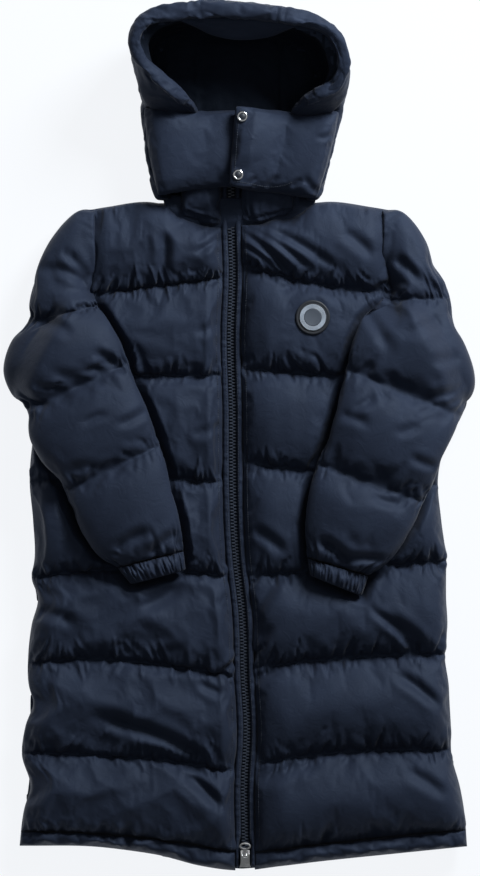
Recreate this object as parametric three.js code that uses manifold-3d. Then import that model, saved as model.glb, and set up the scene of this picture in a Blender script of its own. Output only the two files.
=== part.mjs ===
// A long hooded puffer coat, laid flat on its back with both sleeves folded over the front.
// Millimetres. +X is the viewer's right, +Y points to the hood, +Z points up from the surface.
// The padded cloth is a thick wall: plain on the inside, quilted on the outside.
import * as THREE from "three";
import { mergeVertices } from "three/addons/utils/BufferGeometryUtils.js";
import Module from "manifold-3d";

const wasm = await Module();
wasm.setup();

const { lerp, smoothstep } = THREE.MathUtils;

// Driving sizes.
const SEAM_GAP = 0.3;
const BACK_LOFT = 22;
const LAYER = BACK_LOFT + SEAM_GAP;
const SEAM_THICKNESS = 12;
const CROWN_LOFT = 30;
const PRESSED_THICKNESS = 13;
const SLEEVE_CLEARANCE = 3.6;
const SIDE_ROUND = 38;
const ZIP_ROUND = 26;
const HEM_ROUND = 12;
const RIM_THICKNESS = 2;
const ZIP_EDGE_THICKNESS = 8;
const ARMHOLE_THICKNESS = 22;
const ARMHOLE_ROUND = 14;
const ARMHOLE_FOOT_Y = 209;
const SHOULDER_TOP_Y = 331;
const NECK_BACK = { y: 344, half: 112 };
const PUCKER_HEIGHT = 3.4;
const PLACKET_HALF = 14;
const TAPE_HALF = 13;
const CHAIN_HALF = 5;
const TAPE_THICKNESS = 2.2;
const WELT_HEIGHT = 9.5;
const BADGE = { x: 107, y: 175, rim: 25, ring: 19, disc: 12.5 };
const BADGE_HEIGHT = 38;
const BADGE_THICKNESS = { base: 2.4, ring: 1.4, disc: 1 };
const SNAPS = { upper: { x: 5, y: 464 }, lower: { x: -1, y: 380 } };
const SNAP_RADIUS = 7.7;
const SNAP_HEIGHT = 20;
const SNAP_THICKNESS = 2.6;
const HOOD_WALL = 20;
const HOOD_STRIP_HALF = 60;
const BRIM_HALF_HEIGHT = 13;

// How a padded channel rises: how full its arch is, and what is left of it at the zip and the hem.
const CHANNEL = { fullness: 0.62, hemShare: 0.3, zipShare: 0.25, zipFall: 0.3, hemFall: 0.45 };
// Distances from a sleeve's or the badge's outline over which the front is pressed or levelled.
const PRESS = { from: -38, to: -10 };
const LEVEL = { near: 10, far: 34 };
// A sleeve's section: how square it is, how deep it sits, and how it climbs onto the front.
const SECTION = { square: 0.85, sides: 0.72, belly: 0.42, slitBelly: 0.46, climb: 10, from: -42, to: -4 };
const CUFF = { tall: 34, swell: 5, gather: 1.4, mouthWidth: 0.62, mouthHeight: 13, mouthPoints: 12 };
// A hood wall's foot and flat lie this far in from its outline; its upper part leans out.
const HOOD_FORM = { foot: 30, flat: 46, bulge: 6, lean: 3, lowestInner: 3 };

const SLIDER = {
  topY: -598,
  footY: -623,
  pinY: -606,
  pinZ: 37,
  top: 13,
  foot: 17,
  plate: 8,
  rail: 2.4,
  railHeight: 2.6,
  lug: 3,
  pin: 1.3,
};
const PULL = {
  ringY: -592,
  ringWidth: 17,
  ringDepth: 10.6,
  ringRim: 2.6,
  thickness: 2.4,
  neck: 5,
  eye: 2.9,
  bore: 1.7,
};

// Side edges of the body from hem to shoulder.
const BODY_EDGES = [
  { y: -632, left: -321, right: 334 },
  { y: -587, left: -318, right: 331 },
  { y: -539, left: -312, right: 327 },
  { y: -506, left: -303, right: 321 },
  { y: -461, left: -315, right: 309 },
  { y: -418, left: -310, right: 308 },
  { y: -383, left: -299, right: 306 },
  { y: -360, left: -305, right: 305 },
  { y: -315, left: -306, right: 299 },
  { y: -271, left: -301, right: 303 },
  { y: -231, left: -292, right: 301 },
  { y: -203, left: -301, right: 301 },
  { y: -177, left: -297, right: 301 },
  { y: -119, left: -299, right: 294 },
  { y: -61, left: -304, right: 289 },
  { y: 1, left: -299, right: 298 },
  { y: 99, left: -281, right: 279 },
  { y: 154, left: -252, right: 253 },
  { y: 209, left: -225, right: 225 },
  { y: 287, left: -222.5, right: 222.5 },
  { y: 331, left: -221, right: 221 },
];

// The line of the zip's teeth.
const ZIP_LINE = [
  { y: -632, x: 9 },
  { y: -583, x: 9 },
  { y: -503, x: 8 },
  { y: -423, x: 12 },
  { y: -348, x: 8 },
  { y: -254, x: 5 },
  { y: -174, x: -4 },
  { y: -15, x: -9 },
  { y: 28, x: -9 },
  { y: 152, x: -12 },
  { y: 241, x: -9 },
  { y: 306, x: -11 },
  { y: 402, x: -11 },
];

// The front's shoulder and neck edge, and the hem edge, by distance across.
const SHOULDER_EDGE = [
  { x: -221, y: 331 },
  { x: -192, y: 336 },
  { x: -120, y: 342 },
  { x: -104, y: 338 },
  { x: -92, y: 326 },
  { x: -75, y: 318 },
  { x: -50, y: 309 },
  { x: -24, y: 306 },
  { x: 4, y: 310 },
  { x: 31, y: 312 },
  { x: 49, y: 318 },
  { x: 78, y: 322 },
  { x: 92, y: 331 },
  { x: 107, y: 341 },
  { x: 120, y: 343 },
  { x: 192, y: 336 },
  { x: 221, y: 331 },
];
const HEM_EDGE = [
  { x: -320, y: -592 },
  { x: -202, y: -594 },
  { x: -159, y: -599 },
  { x: -115, y: -606 },
  { x: -57, y: -621 },
  { x: 1, y: -628 },
  { x: 59, y: -622 },
  { x: 117, y: -615 },
  { x: 233, y: -603 },
  { x: 331, y: -593 },
];

// Quilting seams of each front: their height at the side, halfway and at the zip.
const QUILT_SEAMS = {
  left: [
    { side: 209, middle: 221, zip: 235 },
    { side: 84, middle: 92, zip: 91 },
    { side: -61, middle: -57, zip: -65 },
    { side: -202, middle: -190, zip: -200 },
    { side: -325, middle: -323, zip: -347 },
    { side: -457, middle: -463, zip: -484 },
    { side: -571, middle: -578, zip: -601 },
  ],
  right: [
    { side: 212, middle: 224, zip: 254 },
    { side: 84, middle: 91, zip: 102 },
    { side: -68, middle: -54, zip: -34 },
    { side: -177, middle: -188, zip: -199 },
    { side: -313, middle: -318, zip: -333 },
    { side: -453, middle: -455, zip: -471 },
    { side: -569, middle: -584, zip: -602 },
  ],
};

// The largest folds of the fronts: straight troughs from one point to another.
const FOLDS = [
  { fromX: -205, fromY: -404, toX: -22, toY: -474, width: 13, depth: 13 },
  { fromX: -72, fromY: -490, toX: -22, toY: -540, width: 11, depth: 11 },
  { fromX: -108, fromY: 298, toX: -110, toY: 228, width: 9, depth: 8 },
  { fromX: 12, fromY: 300, toX: 78, toY: 232, width: 10, depth: 9 },
  { fromX: 22, fromY: 306, toX: 130, toY: 232, width: 10, depth: 7 },
  { fromX: 211, fromY: -262, toX: 288, toY: -330, width: 11, depth: 10 },
  { fromX: 230, fromY: -350, toX: 292, toY: -390, width: 10, depth: 8 },
];

// Sleeves: sections from the outer to the inner edge, with the height of the padded tube.
// lift says how far the section has climbed from the surface onto the coat's front.
const SLEEVES = {
  left: [
    { at: 0, outerX: -221.6, outerY: 331, innerX: -225.6, innerY: 210, tall: 50, lift: 0 },
    { at: 1, outerX: -249, outerY: 323, innerX: -230, innerY: 209, tall: 56, lift: 0 },
    { at: 2, outerX: -278, outerY: 284, innerX: -234, innerY: 206, tall: 62, lift: 0 },
    { at: 3, outerX: -295, outerY: 241, innerX: -236, innerY: 201, tall: 62, lift: 0.15 },
    { at: 4, outerX: -304, outerY: 196, innerX: -229, innerY: 196, tall: 60, lift: 0.75 },
    { at: 5, outerX: -307, outerY: 168, innerX: -214, innerY: 190, tall: 58, lift: 1 },
    { at: 6, outerX: -330, outerY: 139, innerX: -200, innerY: 180, tall: 64, lift: 1 },
    { at: 7, outerX: -341, outerY: 99, innerX: -185, innerY: 162, tall: 68, lift: 1 },
    { at: 8, outerX: -330, outerY: 65, innerX: -171, innerY: 137, tall: 66, lift: 1 },
    { at: 9, outerX: -307, outerY: 41, innerX: -159, innerY: 108, tall: 62, lift: 1 },
    { at: 10, outerX: -302, outerY: 0, innerX: -146, innerY: 72, tall: 66, lift: 1 },
    { at: 11, outerX: -283, outerY: -35, innerX: -132, innerY: 38, tall: 66, lift: 1 },
    { at: 12, outerX: -257, outerY: -67, innerX: -118, innerY: 0, tall: 60, lift: 1 },
    { at: 13, outerX: -243, outerY: -99, innerX: -107, innerY: -34, tall: 62, lift: 1 },
    { at: 14, outerX: -228, outerY: -133, innerX: -97, innerY: -76, tall: 60, lift: 1 },
    { at: 15, outerX: -205, outerY: -167, innerX: -86, innerY: -119, tall: 54, lift: 1 },
    { at: 16, outerX: -176, outerY: -187, innerX: -80, innerY: -163, tall: 44, lift: 1 },
  ],
  right: [
    { at: 0, outerX: 221.6, outerY: 331, innerX: 225.6, innerY: 210, tall: 50, lift: 0 },
    { at: 1, outerX: 249, outerY: 325, innerX: 230, innerY: 209, tall: 56, lift: 0 },
    { at: 2, outerX: 270, outerY: 294, innerX: 234, innerY: 206, tall: 62, lift: 0 },
    { at: 3, outerX: 286, outerY: 255, innerX: 236, innerY: 201, tall: 62, lift: 0.15 },
    { at: 4, outerX: 305, outerY: 208, innerX: 229, innerY: 197, tall: 58, lift: 0.75 },
    { at: 5, outerX: 312, outerY: 172, innerX: 212, innerY: 194, tall: 62, lift: 1 },
    { at: 6, outerX: 329, outerY: 134, innerX: 196, innerY: 188, tall: 68, lift: 1 },
    { at: 7, outerX: 341, outerY: 96, innerX: 177, innerY: 169, tall: 70, lift: 1 },
    { at: 8, outerX: 341, outerY: 66, innerX: 164, innerY: 138, tall: 66, lift: 1 },
    { at: 9, outerX: 326, outerY: 38, innerX: 156, innerY: 108, tall: 62, lift: 1 },
    { at: 10, outerX: 308, outerY: 3, innerX: 148, innerY: 72, tall: 68, lift: 1 },
    { at: 11, outerX: 292, outerY: -30, innerX: 138, innerY: 32, tall: 68, lift: 1 },
    { at: 12, outerX: 282, outerY: -61, innerX: 127, innerY: -6, tall: 64, lift: 1 },
    { at: 13, outerX: 268, outerY: -92, innerX: 113, innerY: -36, tall: 58, lift: 1 },
    { at: 14, outerX: 250, outerY: -128, innerX: 103, innerY: -74, tall: 62, lift: 1 },
    { at: 15, outerX: 222, outerY: -172, innerX: 96, innerY: -126, tall: 54, lift: 1 },
    { at: 16, outerX: 188, outerY: -199, innerX: 99, innerY: -173, tall: 44, lift: 1 },
  ],
};
// Quilting seams across each sleeve, by the same count along it.
const SLEEVE_SEAMS = { left: [0, 5, 9, 12.3, 16], right: [0, 4.2, 9.2, 13, 16] };
const CUFFS = {
  left: [
    { outerX: -175.6, outerY: -187.8, innerX: -80, innerY: -163.9 },
    { outerX: -157, outerY: -211, innerX: -77, innerY: -190 },
  ],
  right: [
    { outerX: 187.6, outerY: -200, innerX: 99.2, innerY: -174 },
    { outerX: 178, outerY: -228, innerX: 103, innerY: -198 },
  ],
};
const CUFF_GATHERS = 14;

// Hood sides from the neck to the crown: the seam at the back strip, the outline and the rim.
const HOOD_SIDES = {
  left: [
    { backY: 345, outX: -120, outY: 345, rimX: -112, rimY: 345, middle: 34, rim: 58 },
    { backY: 378, outX: -128, outY: 376, rimX: -121, rimY: 376, middle: 34, rim: 59 },
    { backY: 415, outX: -134, outY: 418, rimX: -127, rimY: 418, middle: 36, rim: 60 },
    { backY: 445, outX: -139, outY: 454, rimX: -131, rimY: 454, middle: 37, rim: 60 },
    { backY: 463, outX: -142, outY: 478, rimX: -134, rimY: 478, middle: 38, rim: 60 },
    { backY: 478, outX: -145, outY: 500, rimX: -114, rimY: 497, middle: 60, rim: 100 },
    { backY: 494, outX: -149, outY: 528, rimX: -116, rimY: 522, middle: 68, rim: 116 },
    { backY: 510, outX: -154, outY: 560, rimX: -141, rimY: 551, middle: 72, rim: 126 },
    { backY: 525, outX: -151, outY: 587, rimX: -143, rimY: 577, middle: 74, rim: 130 },
    { backY: 538, outX: -135, outY: 607, rimX: -129, rimY: 598, middle: 74, rim: 131 },
    { backY: 549, outX: -103, outY: 619, rimX: -101, rimY: 609, middle: 74, rim: 132 },
    { backY: 560, outX: -60.3, outY: 625, rimX: -60.3, rimY: 615, middle: 74, rim: 132 },
  ],
  right: [
    { backY: 345, outX: 117, outY: 345, rimX: 109, rimY: 345, middle: 34, rim: 58 },
    { backY: 378, outX: 125, outY: 378, rimX: 118, rimY: 378, middle: 34, rim: 59 },
    { backY: 415, outX: 135, outY: 415, rimX: 128, rimY: 415, middle: 36, rim: 60 },
    { backY: 445, outX: 144, outY: 450, rimX: 136, rimY: 450, middle: 37, rim: 60 },
    { backY: 463, outX: 151, outY: 474, rimX: 143, rimY: 474, middle: 38, rim: 60 },
    { backY: 478, outX: 155, outY: 496, rimX: 128, rimY: 494, middle: 60, rim: 100 },
    { backY: 494, outX: 156, outY: 518, rimX: 135, rimY: 514, middle: 68, rim: 116 },
    { backY: 510, outX: 153, outY: 543, rimX: 146, rimY: 539, middle: 72, rim: 126 },
    { backY: 525, outX: 143, outY: 570, rimX: 138, rimY: 564, middle: 74, rim: 130 },
    { backY: 538, outX: 125, outY: 591, rimX: 121, rimY: 584, middle: 74, rim: 131 },
    { backY: 549, outX: 97, outY: 607, rimX: 95, rimY: 599, middle: 74, rim: 132 },
    { backY: 560, outX: 60.3, outY: 618, rimX: 60.3, rimY: 609, middle: 74, rim: 132 },
  ],
};
// The padded brim round the face opening: its centre line, half width and height.
const BRIM = [
  { x: -92, y: 501, half: 12, z: 117 },
  { x: -120, y: 526, half: 9, z: 130.4 },
  { x: -143, y: 551, half: 8, z: 139.6 },
  { x: -147, y: 577, half: 8, z: 143.8 },
  { x: -133, y: 599, half: 10, z: 145.8 },
  { x: -100, y: 610, half: 13, z: 145.8 },
  { x: -55, y: 615, half: 13, z: 145.8 },
  { x: 0, y: 614, half: 14, z: 145.8 },
  { x: 55, y: 608, half: 13, z: 145.8 },
  { x: 98, y: 599, half: 11, z: 145.8 },
  { x: 128, y: 584, half: 9, z: 145.8 },
  { x: 145, y: 560, half: 8, z: 142 },
  { x: 148, y: 531, half: 8, z: 136 },
  { x: 134, y: 508, half: 9, z: 125 },
  { x: 106, y: 496, half: 10, z: 118 },
];

// Chin guard and collar: the four edges of each padded piece, from the zip outwards.
const NECK_PIECES = {
  guard_upper: {
    zip: [[-14, 365], [-11, 410], [-5, 480]],
    side: [[113, 346], [133, 412], [146, 474]],
    low: [[-14, 365], [18, 357], [57, 354], [88, 348], [113, 346]],
    high: [[-5, 480], [40, 476], [88, 473], [122, 473], [146, 474]],
    floor: [76, 56, 62.4],
    crown: 24,
    snaps: true,
  },
  guard_under: {
    zip: [[22, 366], [24, 420], [26, 474]],
    side: [[-117, 350], [-132, 416], [-138, 478]],
    low: [[22, 366], [-15, 363], [-60, 360], [-117, 350]],
    high: [[26, 474], [-11, 476], [-57, 474], [-94, 479], [-138, 478]],
    floor: [50.8, 53, 62.2],
    crown: 19,
  },
  collar_left: {
    zip: [[-25.5, 306.4], [-25.5, 350], [-25.5, 398]],
    side: [[-86, 325], [-84, 360], [-80, 398]],
    low: [[-25.5, 306.6], [-50, 309.6], [-75, 318.8], [-86, 325]],
    high: [[-25.5, 398], [-52, 400], [-80, 398]],
    floor: [LAYER, LAYER, LAYER],
    crown: 24,
  },
  collar_right: {
    zip: [[3.6, 310.8], [3.6, 350], [3.6, 398]],
    side: [[84, 330], [80, 360], [78, 398]],
    low: [[3.6, 310.8], [31, 312.8], [49, 318.8], [72, 323], [84, 330]],
    high: [[3.6, 398], [50, 400], [78, 398]],
    floor: [LAYER, LAYER, LAYER],
    crown: 24,
  },
};

// Materials.
const navy = new THREE.MeshStandardMaterial({ color: 0x28334a, roughness: 0.52 });
const darkRubber = new THREE.MeshStandardMaterial({ color: 0x161b24, roughness: 0.6 });
const greyPlastic = new THREE.MeshStandardMaterial({ color: 0x8a95a9, roughness: 0.45 });
const tapeCloth = new THREE.MeshStandardMaterial({ color: 0x171f30, roughness: 0.8 });
const teethPlastic = new THREE.MeshStandardMaterial({ color: 0x232c40, roughness: 0.35 });
const silver = new THREE.MeshStandardMaterial({ color: 0xc9ccd0, roughness: 0.25, metalness: 1 });

const coat = new THREE.Group();

function addMesh(name, geometry, material) {
  const mesh = new THREE.Mesh(geometry, material);
  mesh.name = name;
  coat.add(mesh);
  return mesh;
}

// A smooth reading of a table between its rows, sorted by one of its columns.
function smoothTable(rows, sortedBy) {
  const columns = Object.keys(rows[0]).filter((key) => key !== sortedBy);
  const curve = new THREE.CubicInterpolant(
    rows.map((row) => row[sortedBy]),
    rows.flatMap((row) => columns.map((column) => row[column])),
    columns.length,
  );
  return (position) => {
    const values = curve.evaluate(position);
    return Object.fromEntries(columns.map((column, i) => [column, values[i]]));
  };
}

const bodyEdges = smoothTable(BODY_EDGES, "y");
const zipLine = smoothTable(ZIP_LINE, "y");
const shoulderEdge = smoothTable(SHOULDER_EDGE, "x");
const hemEdge = smoothTable(HEM_EDGE, "x");

// A round shoulder: 0 at an edge, 1 at the given distance from it.
function roundOff(distance, radius) {
  const part = Math.min(Math.max(distance / radius, 0), 1);
  return Math.sqrt(1 - (1 - part) ** 2);
}

// Quick at both ends and slow in the middle, for rows that crowd at the edges.
function crowded(step, steps) {
  return 0.5 - 0.5 * Math.cos((Math.PI * step) / steps);
}

// An uneven number between -1 and 1 that is always the same for the same place.
function uneven(a, b) {
  return Math.sin(a * 12.9898 + b * 78.233) * Math.cos(a * 4.898 + b * 7.23);
}

function closedGeometry(points, triangles) {
  const geometry = new THREE.BufferGeometry();
  geometry.setAttribute("position", new THREE.Float32BufferAttribute(points.flat(), 3));
  geometry.setIndex(triangles);
  geometry.computeVertexNormals();
  return geometry;
}

// A closed solid between two grids of points: an outer face and an inner face, joined at the rim.
// Where inner is a number, the inner face is flat at that height and needs only the rim's points.
function gridSolid(columns, rows, outer, inner) {
  const points = [];
  const triangles = [];
  const outerIndex = (i, j) => j * (columns + 1) + i;
  for (let j = 0; j <= rows; j += 1) {
    for (let i = 0; i <= columns; i += 1) points.push(outer(i, j));
  }
  for (let j = 0; j < rows; j += 1) {
    for (let i = 0; i < columns; i += 1) {
      const corner = [outerIndex(i, j), outerIndex(i + 1, j)];
      const next = [outerIndex(i, j + 1), outerIndex(i + 1, j + 1)];
      triangles.push(corner[0], corner[1], next[1], corner[0], next[1], next[0]);
    }
  }
  const rim = [];
  for (let i = 0; i < columns; i += 1) rim.push([i, 0]);
  for (let j = 0; j < rows; j += 1) rim.push([columns, j]);
  for (let i = columns; i > 0; i -= 1) rim.push([i, rows]);
  for (let j = rows; j > 0; j -= 1) rim.push([0, j]);

  const flat = typeof inner === "number";
  const start = points.length;
  const innerIndex = new Map();
  if (flat) {
    rim.forEach(([i, j], k) => {
      const [x, y] = points[outerIndex(i, j)];
      points.push([x, y, inner]);
      innerIndex.set(`${i},${j}`, start + k);
    });
    const at = (i, j) => innerIndex.get(`${i},${j}`);
    const half = Math.floor(columns / 2);
    for (let j = 1; j + 1 < rows; j += 1) {
      triangles.push(at(0, j), at(0, j + 1), at(columns, j + 1));
      triangles.push(at(0, j), at(columns, j + 1), at(columns, j));
    }
    for (const [end, next, turned] of [[0, 1, true], [rows, rows - 1, false]]) {
      const addFan = (a, b, c) => triangles.push(...(turned ? [a, b, c] : [a, c, b]));
      for (let i = 0; i < columns; i += 1) addFan(at(i < half ? 0 : columns, next), at(i + 1, end), at(i, end));
      addFan(at(0, next), at(columns, next), at(half, end));
    }
  } else {
    for (let j = 0; j <= rows; j += 1) {
      for (let i = 0; i <= columns; i += 1) {
        innerIndex.set(`${i},${j}`, points.length);
        points.push(inner(i, j));
      }
    }
    for (let j = 0; j < rows; j += 1) {
      for (let i = 0; i < columns; i += 1) {
        const [a, b] = [innerIndex.get(`${i},${j}`), innerIndex.get(`${i + 1},${j}`)];
        const [c, d] = [innerIndex.get(`${i + 1},${j + 1}`), innerIndex.get(`${i},${j + 1}`)];
        triangles.push(a, c, b, a, d, c);
      }
    }
  }
  rim.forEach(([i, j], k) => {
    const [nextI, nextJ] = rim[(k + 1) % rim.length];
    const [a, b] = [outerIndex(i, j), outerIndex(nextI, nextJ)];
    const [c, d] = [innerIndex.get(`${nextI},${nextJ}`), innerIndex.get(`${i},${j}`)];
    triangles.push(a, d, c, a, c, b);
  });
  return facingOut(closedGeometry(points, triangles));
}

// Turns every face round where the solid came out inside out.
function facingOut(geometry) {
  const position = geometry.getAttribute("position");
  const index = geometry.getIndex();
  const [a, b, c] = [new THREE.Vector3(), new THREE.Vector3(), new THREE.Vector3()];
  let volume = 0;
  for (let t = 0; t < index.count; t += 3) {
    a.fromBufferAttribute(position, index.getX(t));
    b.fromBufferAttribute(position, index.getX(t + 1));
    c.fromBufferAttribute(position, index.getX(t + 2));
    volume += a.dot(b.cross(c)) / 6;
  }
  if (volume < 0) {
    for (let t = 0; t < index.count; t += 3) {
      const second = index.getX(t + 1);
      index.setX(t + 1, index.getX(t + 2));
      index.setX(t + 2, second);
    }
    geometry.computeVertexNormals();
  }
  return geometry;
}

// A tube of rings with a slit or a hollow through it. Each ring gives its points in space, and in
// its own plane for the flat ends.
function tubeSolid(outerRings, innerRings) {
  const points = [];
  const triangles = [];
  const addWall = (rings, facing) => {
    const first = points.length;
    const count = rings[0].space.length;
    rings.forEach((ring) => ring.space.forEach((point) => points.push(point)));
    for (let r = 0; r + 1 < rings.length; r += 1) {
      for (let k = 0; k < count; k += 1) {
        const next = (k + 1) % count;
        const [a, b] = [first + r * count + k, first + r * count + next];
        const [c, d] = [a + count, b + count];
        if (facing) triangles.push(a, b, d, a, d, c);
        else triangles.push(a, d, b, a, c, d);
      }
    }
    return first;
  };
  const outerFirst = addWall(outerRings, true);
  const innerFirst = innerRings ? addWall(innerRings, false) : 0;
  const closeEnd = (outerRing, innerRing, outerStart, innerStart, far) => {
    const loop = outerRing.plane.map(([w, z]) => new THREE.Vector2(w, z));
    const hole = innerRing ? innerRing.plane.map(([w, z]) => new THREE.Vector2(w, z)) : [];
    const all = [...loop, ...hole];
    const number = (k) => (k < loop.length ? outerStart + k : innerStart + k - loop.length);
    const turned = THREE.ShapeUtils.area(loop) < 0 === far;
    for (const [a, b, c] of THREE.ShapeUtils.triangulateShape([...loop], hole.length ? [[...hole]] : [])) {
      const same = THREE.ShapeUtils.area([all[a], all[b], all[c]]) > 0 === turned;
      if (same) triangles.push(number(a), number(c), number(b));
      else triangles.push(number(a), number(b), number(c));
    }
  };
  const count = outerRings[0].space.length;
  const lastOuter = outerFirst + (outerRings.length - 1) * count;
  const innerCount = innerRings ? innerRings[0].space.length : 0;
  const lastInner = innerRings ? innerFirst + (innerRings.length - 1) * innerCount : 0;
  closeEnd(outerRings[0], innerRings?.[0], outerFirst, innerFirst, false);
  closeEnd(outerRings.at(-1), innerRings?.at(-1), lastOuter, lastInner, true);
  return facingOut(closedGeometry(points, triangles));
}

// Height of a seam above the hem end, at a share of the way from the side to the zip.
function seamY(seam, share) {
  const bend = seam.middle - (seam.side + seam.zip) / 2;
  return lerp(seam.side, seam.zip, share) + bend * 4 * share * (1 - share);
}

// Signed distance from a point to a closed outline, positive inside.
function depthInside(outline, x, y) {
  let nearest = Infinity;
  let inside = false;
  outline.forEach(([ax, ay], i) => {
    const [bx, by] = outline[(i + 1) % outline.length];
    const along = ((x - ax) * (bx - ax) + (y - ay) * (by - ay)) / ((bx - ax) ** 2 + (by - ay) ** 2);
    const part = Math.min(Math.max(along, 0), 1);
    nearest = Math.min(nearest, Math.hypot(x - lerp(ax, bx, part), y - lerp(ay, by, part)));
    if (ay > y !== by > y && x < ((bx - ax) * (y - ay)) / (by - ay) + ax) inside = !inside;
  });
  return inside ? nearest : -nearest;
}

const sleeveOutline = {};
for (const side of ["left", "right"]) {
  const sections = [...SLEEVES[side].slice(4), ...CUFFS[side]];
  const outerEdge = sections.map((row) => [row.outerX, row.outerY]);
  const innerEdge = sections.map((row) => [row.innerX, row.innerY]);
  sleeveOutline[side] = [...outerEdge, ...innerEdge.reverse()];
}

function panelEdges(side, y) {
  const zip = zipLine(y).x;
  const edge = bodyEdges(y)[side];
  const inner = zip + (side === "left" ? -1 : 1) * (PLACKET_HALF + SEAM_GAP);
  return { edge, inner };
}

// Height of a front's outer face above its plain inside, at any place on it.
function frontThickness(side, x, y) {
  const { edge, inner } = panelEdges(side, y);
  const share = Math.min(Math.max((x - edge) / (inner - edge), 0), 1);
  const lines = [shoulderEdge(x).y, ...QUILT_SEAMS[side].map((seam) => seamY(seam, share)), hemEdge(x).y];
  let band = 0;
  while (band < lines.length - 2 && y < lines[band + 1]) band += 1;
  const part = Math.min(Math.max((lines[band] - y) / (lines[band] - lines[band + 1]), 0), 1);
  const hemBand = band === lines.length - 2;
  const arch = Math.sin(Math.PI * part) ** CHANNEL.fullness * (hemBand ? CHANNEL.hemShare : 1);

  const armhole = smoothstep(y, ARMHOLE_FOOT_Y - 12, ARMHOLE_FOOT_Y + 4);
  const sideFall = roundOff(Math.abs(x - edge), lerp(SIDE_ROUND, ARMHOLE_ROUND, armhole));
  const rimHeight = lerp(RIM_THICKNESS, ARMHOLE_THICKNESS, armhole);
  const zipFall = roundOff(Math.abs(inner - x), ZIP_ROUND);
  const hemFall = roundOff(y - hemEdge(x).y, HEM_ROUND);
  const loft = SEAM_THICKNESS + CROWN_LOFT * arch * lerp(CHANNEL.zipShare, 1, zipFall);
  let height = lerp(rimHeight, loft, sideFall);
  height = lerp(Math.min(height, ZIP_EDGE_THICKNESS), height, lerp(CHANNEL.zipFall, 1, zipFall));

  for (const fold of FOLDS) {
    const run = [fold.toX - fold.fromX, fold.toY - fold.fromY];
    const long = Math.hypot(...run);
    const along = ((x - fold.fromX) * run[0] + (y - fold.fromY) * run[1]) / long ** 2;
    const across = ((x - fold.fromX) * run[1] - (y - fold.fromY) * run[0]) / long;
    const fade = smoothstep(along, -0.1, 0.15) * (1 - smoothstep(along, 0.85, 1.1));
    height -= fold.depth * fade * Math.exp(-((across / fold.width) ** 2));
  }
  const pressed = smoothstep(depthInside(sleeveOutline[side], x, y), PRESS.from, PRESS.to);
  height = lerp(height, Math.min(height, PRESSED_THICKNESS), pressed);
  const badgeAway = Math.hypot(x - BADGE.x, y - BADGE.y);
  const nearBadge = 1 - smoothstep(badgeAway, BADGE.rim + LEVEL.near, BADGE.rim + LEVEL.far);
  if (side === "right") height = lerp(height, BADGE_HEIGHT, nearBadge);
  return Math.max(height * lerp(CHANNEL.hemFall, 1, hemFall), RIM_THICKNESS);
}

// The plain face of a narrow band, point by point at one height, because its rim curves too far.
function facing(point, height) {
  return (i, j) => {
    const [x, y] = point(i, j);
    return [x, y, height];
  };
}

const PANEL_COLUMNS = 20;
const BAND_STEPS = [0, 0.09, 0.28, 0.5, 0.72, 0.91];

// One quilted front from the shoulder down to its last seam, or the hem band below it.
function frontPanel(side, hemOnly) {
  const seams = QUILT_SEAMS[side];
  const lineY = (line, share, x) => {
    if (line === 0) return shoulderEdge(x).y;
    if (line > seams.length) return hemEdge(x).y;
    return seamY(seams[line - 1], share);
  };
  const stations = [];
  const [firstBand, lastBand] = hemOnly ? [seams.length, seams.length] : [0, seams.length - 1];
  for (let band = firstBand; band <= lastBand; band += 1) {
    for (const part of BAND_STEPS) stations.push({ band, part });
  }
  stations.push({ band: lastBand, part: 1 });
  const point = (i, j) => {
    const share = crowded(i, PANEL_COLUMNS);
    const { band, part } = stations[j];
    const roughY = lineY(band, share, lerp(bodyEdges(0)[side], 0, share));
    const rough = panelEdges(side, Math.min(roughY, SHOULDER_TOP_Y));
    const roughX = lerp(rough.edge, rough.inner, share);
    let y = lerp(lineY(band, share, roughX), lineY(band + 1, share, roughX), part);
    const { edge, inner } = panelEdges(side, y);
    const x = lerp(edge, inner, share);
    y = lerp(lineY(band, share, x), lineY(band + 1, share, x), part);
    if (hemOnly && part === 0) y -= SEAM_GAP;
    const nearSeam = part < 0.2 || part > 0.8 ? 1 : 0.25;
    const onRim = i === 0 || i === PANEL_COLUMNS || j === 0 || j === stations.length - 1;
    const open = 1 - smoothstep(depthInside(sleeveOutline[side], x, y), -18, -4);
    const wave = (i % 2 ? 1 : -1) * (0.6 + 0.4 * uneven(i, band));
    const pucker = onRim || hemOnly ? 0 : PUCKER_HEIGHT * nearSeam * wave * open;
    const height = frontThickness(side, x, y - (hemOnly && part === 0 ? 0.5 : 0));
    return [x, y, LAYER + Math.max(height + pucker, RIM_THICKNESS)];
  };
  return gridSolid(PANEL_COLUMNS, stations.length - 1, point, hemOnly ? facing(point, LAYER) : LAYER);
}

for (const side of ["left", "right"]) {
  addMesh(`front_${side}`, frontPanel(side, false), navy);
  addMesh(`hem_front_${side}`, frontPanel(side, true), navy);
}

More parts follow.
